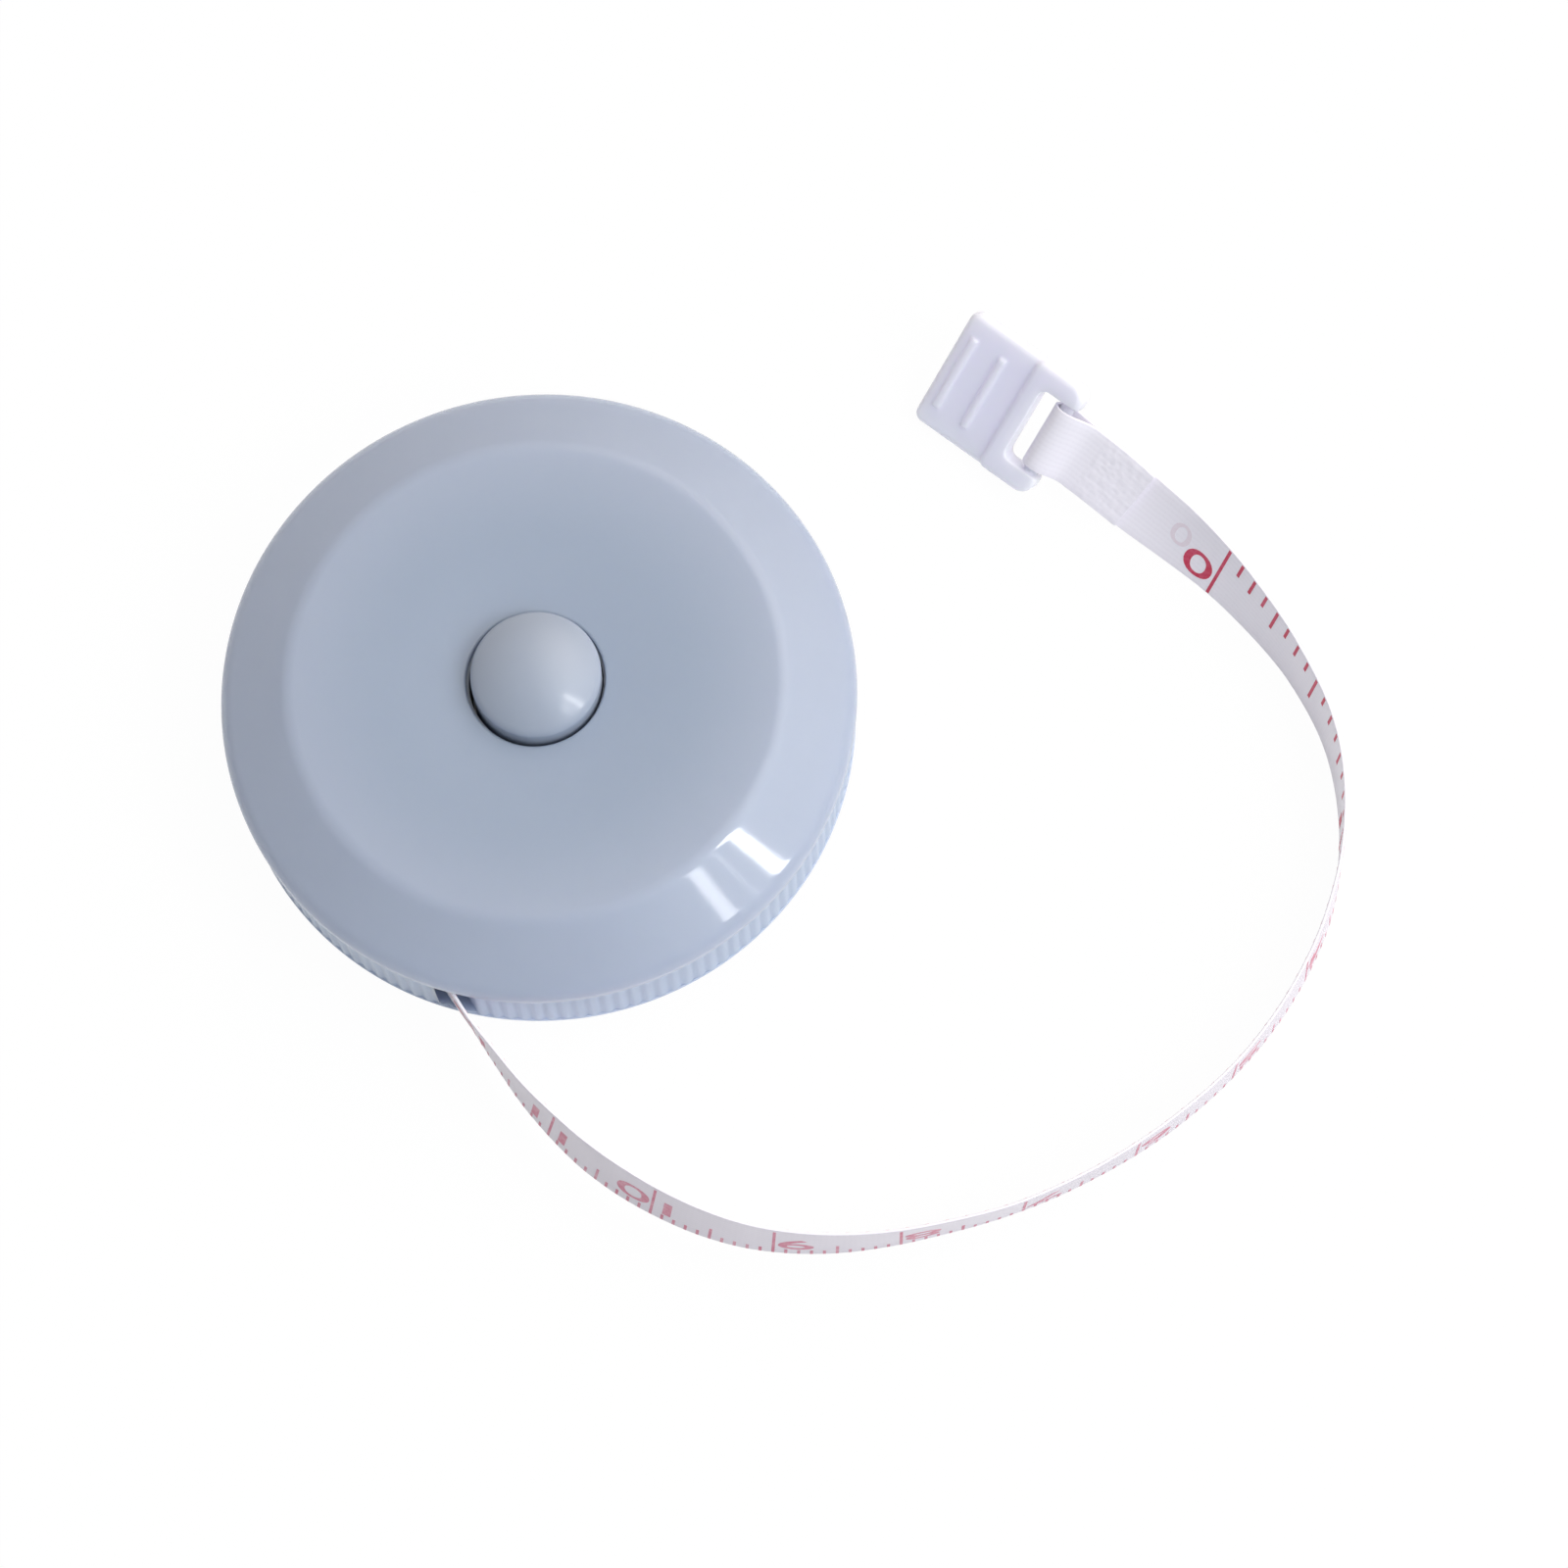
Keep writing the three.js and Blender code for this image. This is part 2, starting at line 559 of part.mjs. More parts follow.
// The last of the wound tape and its straight run to the mouth
function tapeLead() {
  const wrap = radians(LEAD_WRAP);
  const leaving = Math.atan2(leadStart.y, leadStart.x);
  const stations = [];
  for (let i = 0; i <= LEAD_STEPS; i += 1) {
    const angle = leaving - wrap + (wrap * i) / LEAD_STEPS;
    const place = new THREE.Vector3(Math.cos(angle), Math.sin(angle), 0).multiplyScalar(LEAD_RADIUS);
    stations.push({ place: place.setZ(TAPE_MIDDLE), across: UP });
  }
  stations.push({ place: leadStart.clone().lerp(leadEnd, 0.5), across: UP });
  stations.push({ place: leadEnd, across: UP });
  return strip(stations, TAPE_WIDTH, TAPE_THICKNESS);
}

const mouth = leadEnd.clone().addScaledVector(leadWay, TAPE_JOIN_GAP);
const route = [[0, 0, TAPE_BOTTOM, 0], ...TAPE_ROUTE];

// Stations of the free tape, evenly spaced along its route
function freeTapeStations() {
  const curve = new THREE.CatmullRomCurve3(route.map(([x, y, lowerEdge, lean]) => {
    const height = lowerEdge + (TAPE_WIDTH / 2) * Math.cos(radians(lean));
    return new THREE.Vector3(mouth.x + x, mouth.y + y, height);
  }));
  const stations = [];
  for (let i = 0; i <= TAPE_STEPS; i += 1) {
    const share = curve.getUtoTmapping(i / TAPE_STEPS);
    const travel = curve.getTangent(share);
    const left = UP.clone().cross(travel).normalize();
    const leg = Math.min(Math.floor(share * (route.length - 1)), route.length - 2);
    const part = share * (route.length - 1) - leg;
    const lean = radians(THREE.MathUtils.lerp(route[leg][3], route[leg + 1][3], part));
    const across = UP.clone().multiplyScalar(Math.cos(lean)).addScaledVector(left, Math.sin(lean));
    stations.push({ place: curve.getPoint(share), across });
  }
  return stations;
}

const freeStations = freeTapeStations();

// Pull tab, drawn with its width on X and its length on Y from the bar, then laid in its place

function roundedOutline(corners) {
  const outline = new THREE.Shape();
  corners.forEach(({ x, y, radius }, i) => {
    const here = new THREE.Vector2(x, y);
    const towards = (other) => new THREE.Vector2(other.x, other.y).sub(here).setLength(radius).add(here);
    const from = towards(corners[(i + corners.length - 1) % corners.length]);
    const to = towards(corners[(i + 1) % corners.length]);
    if (i === 0) outline.moveTo(from.x, from.y);
    else outline.lineTo(from.x, from.y);
    outline.quadraticCurveTo(here.x, here.y, to.x, to.y);
  });
  outline.closePath();
  return outline;
}

// A plate with rounded edges whose full outline and thickness are as given, from a bottom height up
function roundedPlate(outline, thickness, edge, bottom) {
  const geometry = new THREE.ExtrudeGeometry(outline, {
    depth: thickness - 2 * edge,
    bevelThickness: edge,
    bevelSize: edge,
    bevelOffset: -edge,
    bevelSegments: EDGE_STEPS,
    curveSegments: CURVE_STEPS,
  });
  geometry.translate(0, 0, bottom + edge);
  return toSolid(geometry);
}

function tabOutline(fromY, toY, fromCorner, toCorner) {
  const halfWidth = (y) => {
    const share = (y + TAB_BAR_INSET) / TAB_LENGTH;
    return THREE.MathUtils.lerp(TAB_BAR_END_WIDTH, TAB_FREE_WIDTH, share) / 2;
  };
  return roundedOutline([
    { x: -halfWidth(fromY), y: fromY, radius: fromCorner },
    { x: halfWidth(fromY), y: fromY, radius: fromCorner },
    { x: halfWidth(toY), y: toY, radius: toCorner },
    { x: -halfWidth(toY), y: toY, radius: toCorner },
  ]);
}

function endTab() {
  const bottom = -TAB_THICKNESS / 2;
  const barEnd = -TAB_BAR_INSET;
  const freeEnd = barEnd + TAB_LENGTH;
  const slotEnd = TAB_BAR_RADIUS + TAB_SLOT_WIDTH;
  const frameEnd = slotEnd + TAB_FRAME_WEB;
  const gripThickness = TAB_THICKNESS - TAB_GRIP_DROP;
  const frame = tabOutline(barEnd, frameEnd, TAB_BAR_CORNER, TAB_JOIN_CORNER);
  const grip = tabOutline(slotEnd, freeEnd, TAB_JOIN_CORNER, TAB_FREE_CORNER);
  let tab = roundedPlate(frame, TAB_THICKNESS, TAB_EDGE_ROUND, bottom);
  tab = tab.add(roundedPlate(grip, gripThickness, TAB_EDGE_ROUND, bottom));
  for (let i = 0; i < GRIP_RIB_COUNT; i += 1) {
    const y = freeEnd - GRIP_RIB_INSET - i * GRIP_RIB_PITCH;
    const corners = [[-1, -1], [1, -1], [1, 1], [-1, 1]].map(([a, b]) => ({
      x: (a * GRIP_RIB_LENGTH) / 2,
      y: y + (b * GRIP_RIB_WIDTH) / 2,
      radius: GRIP_RIB_CORNER,
    }));
    const ribHeight = gripThickness / 2 + GRIP_RIB_HEIGHT;
    const ribBottom = bottom + gripThickness / 2;
    tab = tab.add(roundedPlate(roundedOutline(corners), ribHeight, GRIP_RIB_EDGE, ribBottom));
  }
  const slotLength = slotEnd + TAB_LENGTH;
  const slot = new THREE.BoxGeometry(TAB_SLOT_LENGTH, slotLength, 2 * TAB_THICKNESS);
  slot.translate(0, slotEnd - slotLength / 2, 0);
  const barLength = TAB_SLOT_LENGTH + TAB_EDGE_ROUND;
  const bar = new THREE.CylinderGeometry(TAB_BAR_RADIUS, TAB_BAR_RADIUS, barLength, BAR_STEPS);
  bar.rotateZ(Math.PI / 2);
  return toGeometry(tab.subtract(toSolid(slot)).add(toSolid(bar)));
}

// Frame of the pull tab: across its width, along its length and out of its upper face
const heading = radians(TAB_HEADING);
const roll = radians(TAB_ROLL);
const tabAlong = new THREE.Vector3(Math.cos(heading), Math.sin(heading), 0);
const tabRight = new THREE.Vector3(Math.sin(heading), -Math.cos(heading), 0);
const tabAcross = tabRight.clone().multiplyScalar(Math.cos(roll)).addScaledVector(UP, Math.sin(roll));
const tabOut = tabAcross.clone().cross(tabAlong);

// The tab lies on the table on its lower long edge
const tabGeometry = endTab();
const tabTurn = new THREE.Matrix4().makeBasis(tabAcross, tabAlong, tabOut);
const turnedTab = tabGeometry.clone().applyMatrix4(tabTurn);
turnedTab.computeBoundingBox();
const tabHeight = TABLE_GAP - turnedTab.boundingBox.min.z;
const tabPlace = new THREE.Vector3(mouth.x + TAB_REACH[0], mouth.y + TAB_REACH[1], tabHeight);

function onTab(along, out) {
  return tabPlace.clone().addScaledVector(tabAlong, along).addScaledVector(tabOut, out);
}

// The end of the tape, looped round the tab's bar and bonded back on itself
function tapeFold() {
  const loopRadius = TAB_BAR_RADIUS + LOOP_PLAY + TAPE_THICKNESS / 2;
  const lift = TAPE_THICKNESS + TAPE_BOND_GAP;
  const end = freeStations[TAPE_STEPS];
  const lastStep = end.place.clone().sub(freeStations[TAPE_STEPS - 1].place);
  const tailSteps = Math.round(FOLD_TAIL / lastStep.length());
  const start = end.place.clone().add(lastStep.setLength(TAPE_JOIN_GAP));
  const tail = freeStations.slice(-tailSteps - 1).reverse().map((station, i) => {
    const index = TAPE_STEPS - i;
    const next = freeStations[Math.min(index + 1, TAPE_STEPS)].place;
    const travel = next.clone().sub(freeStations[index - 1].place).normalize();
    const above = station.across.clone().cross(travel).normalize();
    return { place: station.place.clone().addScaledVector(above, lift), across: station.across };
  });
  const stations = [];
  const lower = onTab(0, -loopRadius);
  for (let i = 0; i < LEG_STEPS; i += 1) {
    stations.push({ place: start.clone().lerp(lower, i / LEG_STEPS), across: tabAcross });
  }
  for (let i = 0; i <= NOSE_STEPS; i += 1) {
    const angle = -Math.PI / 2 + (Math.PI * i) / NOSE_STEPS;
    const place = onTab(loopRadius * Math.cos(angle), loopRadius * Math.sin(angle));
    stations.push({ place, across: tabAcross });
  }
  const upper = onTab(0, loopRadius);
  for (let i = 1; i < LEG_STEPS; i += 1) {
    stations.push({ place: upper.clone().lerp(tail[0].place, i / LEG_STEPS), across: tabAcross });
  }
  return strip([...stations, ...tail], TAPE_WIDTH, TAPE_THICKNESS);
}

// Finishes

function finish(color, roughness, metalness) {
  return new THREE.MeshStandardMaterial({ color, roughness, metalness });
}

const casePlastic = finish(0xa9b6c8, 0.3, 0);
const buttonPlastic = finish(0xb1bac8, 0.32, 0);
const reelPlastic = finish(0xe3e3df, 0.5, 0);
const springSteel = finish(0x6f747a, 0.35, 1);
const wireSteel = finish(0xb9bcc0, 0.3, 1);
const brakeRubber = finish(0x39393b, 0.85, 0);
const tapeCloth = finish(0xeeebf1, 0.7, 0);
const tabPlastic = finish(0xe3e4ee, 0.3, 0);

// Assembly

const tapeMeasure = new THREE.Group();

console.log(`pull tab's bar ${tabPlace.toArray().map((value) => value.toFixed(3)).join(', ')} mm`);
console.log(`pull tab's hinge axis ${tabAcross.toArray().map((value) => value.toFixed(5)).join(', ')}`);

function place(name, geometry, material) {
  const mesh = new THREE.Mesh(geometry, material);
  mesh.name = name;
  tapeMeasure.add(mesh);
  return mesh;
}

place('bottom_shell', bottomShell(), casePlastic);
place('top_shell', topShell(), casePlastic);
place('push_button', pushButton(), buttonPlastic);
place('brake_ring', brakeRing(), brakeRubber);
place('button_spring', buttonSpring(), wireSteel);
place('reel', reel(), reelPlastic);
place('reel_cover', reelCover(), reelPlastic);
place('mainspring', mainspring(), springSteel);
place('tape_pack', tapePack(), tapeCloth);
place('tape_lead', tapeLead(), tapeCloth);
place('tape_free', strip(freeStations, TAPE_WIDTH, TAPE_THICKNESS), tapeCloth);
place('tape_fold', tapeFold(), tapeCloth);
const tab = place('end_tab', tabGeometry, tabPlastic);
tab.position.copy(tabPlace);
tab.quaternion.setFromRotationMatrix(tabTurn);

export default tapeMeasure;
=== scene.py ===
"""Pocket cloth tape measure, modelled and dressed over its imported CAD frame.

A piece is modelled in millimetres and scaled to metres when it is finished. The tape, its wound turns
and its print are modelled flat, as (length, width, thickness), and then laid along their paths.
"""

import json
import logging
import math
from abc import ABC, abstractmethod
from bisect import bisect_right
from collections.abc import Callable, Iterator, Sequence
from contextlib import contextmanager
from dataclasses import dataclass, field
from enum import Enum, IntEnum

import bmesh
import bpy
from mathutils import Matrix, Vector


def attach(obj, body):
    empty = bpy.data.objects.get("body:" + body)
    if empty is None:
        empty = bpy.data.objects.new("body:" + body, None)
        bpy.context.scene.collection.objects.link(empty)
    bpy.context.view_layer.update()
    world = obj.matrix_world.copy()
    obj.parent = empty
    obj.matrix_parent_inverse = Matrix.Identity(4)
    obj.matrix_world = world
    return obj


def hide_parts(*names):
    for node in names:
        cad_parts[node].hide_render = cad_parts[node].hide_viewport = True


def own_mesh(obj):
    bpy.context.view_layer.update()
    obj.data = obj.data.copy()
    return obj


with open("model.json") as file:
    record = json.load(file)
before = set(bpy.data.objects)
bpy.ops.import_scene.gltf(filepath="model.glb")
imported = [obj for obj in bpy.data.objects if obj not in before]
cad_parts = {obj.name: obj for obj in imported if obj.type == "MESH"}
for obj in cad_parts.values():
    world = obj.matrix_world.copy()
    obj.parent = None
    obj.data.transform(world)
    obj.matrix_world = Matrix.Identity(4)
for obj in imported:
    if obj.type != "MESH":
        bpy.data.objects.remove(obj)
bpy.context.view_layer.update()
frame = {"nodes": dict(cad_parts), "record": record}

MM = 0.001
# Places nearer than NEAR millimetres count as the same, and vertices nearer than MERGE_GAP become one
NEAR = 0.01
MERGE_GAP = 0.0005
ORIGIN = (0.0, 0.0, 0.0)
UP = Vector((0.0, 0.0, 1.0))
WHITE = (1.0, 1.0, 1.0, 1.0)
# A normal whose height is over this looks up
UPWARD = 0.7
# Sockets of a Mix node that mixes colours
SHARE, FROM, TO, MIXED = 0, 6, 7, 2

log = logging.getLogger("tape_measure")

Profile = list[tuple[float, float]]
Piece = bpy.types.Object
Material = bpy.types.Material
Tree = bpy.types.NodeTree
Socket = bpy.types.NodeSocket


class Element(Enum):
    """Kinds of mesh element that can be picked in edit mode."""

    VERTS = "VERT"
    EDGES = "EDGE"
    FACES = "FACE"


class Join(Enum):
    """Ways of putting two solids together."""

    ADD = "UNION"
    CUT = "DIFFERENCE"


class Face(Enum):
    """The two faces of the tape, by the side of its centre line on which each lies."""

    INCH = -1
    CENTIMETRE = 1


class Axis(IntEnum):
    """The axes of a piece, in the order of a point's numbers."""

    X = 0
    Y = 1
    Z = 2


def joint_row(name: str) -> dict:
    """The record's row of the joint with this name."""
    return next(row for row in frame["record"]["behaviour"]["joints"] if row["name"] == name)


def deselect_all() -> None:
    """Leaves every object unselected."""
    bpy.ops.object.select_all(action="DESELECT")


def choose(piece: Piece) -> None:
    """Makes one piece the only selected and the active one.

    Args:
        piece: the piece.
    """
    deselect_all()
    piece.select_set(True)
    bpy.context.view_layer.objects.active = piece


@contextmanager
def editing(piece: Piece) -> Iterator[None]:
    """Opens one piece alone in edit mode with all of it selected, and closes it again.

    Args:
        piece: the mesh object to edit.
    """
    choose(piece)
    bpy.ops.object.mode_set(mode="EDIT")
    bpy.ops.mesh.select_mode(type="VERT")
    bpy.ops.mesh.select_all(action="SELECT")
    yield
    bpy.ops.object.mode_set(mode="OBJECT")


def pick(piece: Piece, kind: Element, test: Callable[..., bool]) -> None:
    """Selects, in edit mode, the elements that pass a test and no others.

    Args:
        piece: the mesh object in edit mode.
        kind: which kind of element is tested.
        test: gets one element and says whether it is selected.
    """
    bpy.ops.mesh.select_mode(type=kind.value)
    bpy.ops.mesh.select_all(action="DESELECT")
    grid = bmesh.from_edit_mesh(piece.data)
    elements = {Element.VERTS: grid.verts, Element.EDGES: grid.edges, Element.FACES: grid.faces}[kind]
    for element in [item for item in elements if test(item)]:
        element.select_set(True)
    grid.select_flush_mode()
    bmesh.update_edit_mesh(piece.data)


def span(edge: bmesh.types.BMEdge, axis: Axis) -> float:
    """How far an edge reaches along an axis."""
    start, end = edge.verts
    return abs(start.co[axis] - end.co[axis])


def merge_doubles() -> None:
    """Selects the whole mesh in edit mode and makes its doubles one."""
    bpy.ops.mesh.select_all(action="SELECT")
    bpy.ops.mesh.remove_doubles(threshold=MERGE_GAP)


def tidy_mesh() -> None:
    """Merges doubles of the mesh in edit mode and turns its faces outwards."""
    merge_doubles()
    bpy.ops.mesh.normals_make_consistent(inside=False)


def scale_about_origin(x: float, y: float) -> None:
    """Scales what is selected in edit mode along X and Y, from the origin."""
    bpy.ops.transform.resize(value=(x, y, 1.0), center_override=ORIGIN)


def newest(name: str) -> Piece:
    """Names the object that was just added, and its data.

    Args:
        name: the name of both.

    Returns:
        The object.
    """
    piece = bpy.context.object
    piece.name = piece.data.name = name
    return piece


def modify(piece: Piece, kind: str, **settings: object) -> None:
    """Gives a piece a modifier and applies it.

    Args:
        piece: the piece.
        kind: the modifier's type name.
        settings: its properties, in the order in which they are set.
    """
    choose(piece)
    modifier = piece.modifiers.new(kind.lower(), kind)
    for name, value in settings.items():
        setattr(modifier, name, value)
    bpy.ops.object.modifier_apply(modifier=modifier.name)


def soft_corner(start: Vector, corner: Vector, end: Vector, steps: int) -> Profile:
    """Points of a rounded corner.

    Args:
        start: where the rounding begins.
        corner: the sharp corner that it replaces.
        end: where the rounding ends.
        steps: how many pieces the rounding has.

    Returns:
        Radius and height of each point, both ends among them.
    """
    points = []
    for i in range(steps + 1):
        share = i / steps
        point = start.lerp(corner, share).lerp(corner.lerp(end, share), share)
        points.append((point.x, point.y))
    return points


def turned(name: str, profile: Profile, steps: int) -> Piece:
    """Turns a profile about Z, as on a lathe.

    Args:
        name: the piece's name.
        profile: radius and height of each corner. It starts and ends on the axis, or at the same point.
        steps: facets of a whole turn.

    Returns:
        The turned solid.
    """
    deselect_all()
    bpy.ops.mesh.primitive_plane_add(size=1.0)
    piece = newest(name)
    corners = [Vector(corner) for corner in profile]
    with editing(piece):
        bpy.ops.mesh.merge(type="CENTER")
        bpy.ops.transform.translate(value=(corners[0].x, 0.0, corners[0].y))
        for here, there in zip(corners, corners[1:]):
            step = there - here
            bpy.ops.mesh.extrude_region_move(TRANSFORM_OT_translate={"value": (step.x, 0.0, step.y)})
        merge_doubles()
        bpy.ops.mesh.spin(steps=steps, angle=math.tau, center=ORIGIN, axis=UP)
        tidy_mesh()
    return piece


def block(name: str, low: Sequence[float], high: Sequence[float]) -> Piece:
    """A box between two corners, ready to be shaped.

    Args:
        name: the piece's name.
        low: its lowest corner.
        high: its highest corner.

    Returns:
        The box, with its size and place in its mesh.
    """
    deselect_all()
    middle = [(a + b) / 2 for a, b in zip(low, high)]
    sides = [b - a for a, b in zip(low, high)]
    bpy.ops.mesh.primitive_cube_add(size=1.0, location=middle, scale=sides)
    piece = newest(name)
    bpy.ops.object.transform_apply()
    return piece


def combine(piece: Piece, tool: Piece, way: Join) -> None:
    """Joins a tool solid to a piece or cuts it out, and deletes the tool.

    Args:
        piece: the solid that stays.
        tool: the solid that is used up.
        way: whether it is added or cut out.
    """
    modify(piece, "BOOLEAN", operation=way.value, solver="EXACT", object=tool)
    bpy.data.objects.remove(tool, do_unlink=True)


def merge_pieces(pieces: Sequence[Piece]) -> Piece:
    """Makes several meshes one object.

    Args:
        pieces: the meshes.

    Returns:
        The first of them, with the others in it.
    """
    choose(pieces[0])
    for piece in pieces:
        piece.select_set(True)
    if len(pieces) > 1:
        bpy.ops.object.join()
    return pieces[0]


def settle(piece: Piece, finish: Material, smooth_below: float = 35.0) -> None:
    """Gives a modelled piece its finish and smooth shading and scales it to metres.

    Args:
        piece: the piece, modelled in millimetres.
        finish: its material.
        smooth_below: edges flatter than this many degrees are shaded smooth.
    """
    choose(piece)
    piece.scale = (MM, MM, MM)
    bpy.ops.object.transform_apply()
    bpy.ops.object.shade_smooth_by_angle(angle=math.radians(smooth_below))
    piece.data.materials.clear()
    piece.data.materials.append(finish)


def carry(piece: Piece, body: str, slot: str, *nodes: str) -> None:
    """Puts a piece on its CAD body in place of the nodes that it stands for.

    Args:
        piece: the finished piece.
        body: the CAD body that it moves with.
        slot: the record's material slot; not used.
        nodes: the CAD nodes that it replaces.
    """
    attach(piece, body)
    if nodes:
        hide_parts(*nodes)
    log.info("%s rides on %s with %d faces", piece.name, body, len(piece.data.polygons))


def linear(colour: str) -> tuple[float, float, float, float]:
    """Turns an sRGB hex colour into linear light.

    Args:
        colour: six hex digits after a hash.

    Returns:
        Red, green, blue and alpha.
    """
    shares = [int(colour[i:i + 2], 16) / 255 for i in (1, 3, 5)]
    light = [c / 12.92 if c <= 0.04045 else ((c + 0.055) / 1.055) ** 2.4 for c in shares]
    return (*light, 1.0)


def add_node(tree: Tree, kind: str, inputs: dict | None = None,
             **settings: object) -> bpy.types.Node:
    """Adds a node with its settings and links.

    Args:
        tree: the node tree.
        kind: the node's type name.
        inputs: input sockets by name or number, each with a value or with an output socket to link.
        settings: the node's own properties.

    Returns:
        The new node.
    """
    node = tree.nodes.new(kind)
    for name, value in settings.items():
        setattr(node, name, value)
    for name, value in (inputs or {}).items():
        if isinstance(value, Socket):
            tree.links.new(value, node.inputs[name])
        else:
            node.inputs[name].default_value = value
    return node


def empty_tree(owner: Material | bpy.types.World) -> Tree:
    """Gives a material or a world an empty node tree.

    Args:
        owner: the material or the world.

    Returns:
        The tree.
    """
    owner.use_nodes = True
    owner.node_tree.nodes.clear()
    return owner.node_tree


def new_finish(name: str) -> tuple[Material, Tree]:
    """Starts a material, and returns it with its empty node tree."""
    material = bpy.data.materials.new(name)
    return material, empty_tree(material)


def per_metre(size_mm: float) -> float:
    """Scale of a pattern on Object coordinates whose features are this many millimetres apart."""
    return 1.0 / (size_mm * MM)


@dataclass(frozen=True)
class MouldedPlastic:
    """Moulded ABS or nylon: even milky colour, bright edges of light, a faint ripple of the mould."""

    name: str
    colour: str
    cloud_colour: str
    roughness: float
    cloud_mm: float = 9.0
    ripple_mm: float = 2.6
    ripple_rise_mm: float = 0.0035
    grain_mm: float = 0.22
    grain_rise_mm: float = 0.0006
    roughness_swing: float = 0.03
    glow: float = 0.0
    glow_reach_mm: float = 0.6
    glow_hue: tuple[float, float, float] = (1.0, 0.9, 1.0)
    specular: float = 0.5
    ior: float = 1.53
    # Painted shade: a darker colour for the middle of the shell, between the radii below
    core_colour: str = ""
    core_mm: tuple[float, float] = (11.0, 22.0)

    def core(self, tree: Tree, place: Socket, tint: Socket) -> Socket:
        """Paints shade into the middle of a milky shell: a darker disc that stands in for the reel's
        shadow behind it.

        Args:
            tree: the material's node tree.
            place: Object coordinates.
            tint: the colour outside the middle.

        Returns:
            The colour with the painted shade in its middle.
        """
        inner, outer = self.core_mm
        flat = add_node(tree, "ShaderNodeVectorMath", {0: place, 1: (1.0, 1.0, 0.0)},
                        operation="MULTIPLY")
        radius = add_node(tree, "ShaderNodeVectorMath", {0: flat.outputs["Vector"]}, operation="LENGTH")
        share = add_node(tree, "ShaderNodeMapRange", {
            "Value": radius.outputs["Value"], "From Min": inner * MM, "From Max": outer * MM},
            interpolation_type="SMOOTHSTEP")
        mixed = add_node(tree, "ShaderNodeMix", {
            SHARE: share.outputs["Result"], FROM: linear(self.core_colour), TO: tint}, data_type="RGBA")
        return mixed.outputs[MIXED]

    def material(self) -> Material:
        """Mixes the plastic, with its patterns on Object coordinates.

        Returns:
            The material.
        """
        material, tree = new_finish(self.name)
        place = add_node(tree, "ShaderNodeTexCoord").outputs["Object"]
        cloud = add_node(tree, "ShaderNodeTexNoise", {
            "Vector": place, "Scale": per_metre(self.cloud_mm), "Detail": 3.0, "Roughness": 0.55})
        tint = add_node(tree, "ShaderNodeMix", {
            SHARE: cloud.outputs["Fac"], FROM: linear(self.colour), TO: linear(self.cloud_colour)},
            data_type="RGBA")
        colour = tint.outputs[MIXED]
        # Painted shade in the middle of the shell
        if self.core_colour:
            colour = self.core(tree, place, colour)
        polish = add_node(tree, "ShaderNodeMapRange", {
            "Value": cloud.outputs["Fac"], "To Min": self.roughness - self.roughness_swing,
            "To Max": self.roughness + self.roughness_swing})
        ripple = add_node(tree, "ShaderNodeTexNoise", {
            "Vector": place, "Scale": per_metre(self.ripple_mm), "Detail": 1.5, "Roughness": 0.4})
        grain = add_node(tree, "ShaderNodeTexNoise", {
            "Vector": place, "Scale": per_metre(self.grain_mm), "Detail": 2.0, "Roughness": 0.6})
        waves = add_node(tree, "ShaderNodeBump", {
            "Height": ripple.outputs["Fac"], "Distance": self.ripple_rise_mm * MM})
        relief = add_node(tree, "ShaderNodeBump", {
            "Height": grain.outputs["Fac"], "Distance": self.grain_rise_mm * MM,
            "Normal": waves.outputs["Normal"]})
        shader = add_node(tree, "ShaderNodeBsdfPrincipled", {
            "Base Color": colour, "Roughness": polish.outputs["Result"], "IOR": self.ior,
            "Specular IOR Level": self.specular, "Normal": relief.outputs["Normal"],
            "Subsurface Weight": self.glow, "Subsurface Radius": self.glow_hue,
            "Subsurface Scale": self.glow_reach_mm * MM})
        add_node(tree, "ShaderNodeOutputMaterial", {"Surface": shader.outputs["BSDF"]})
        return material


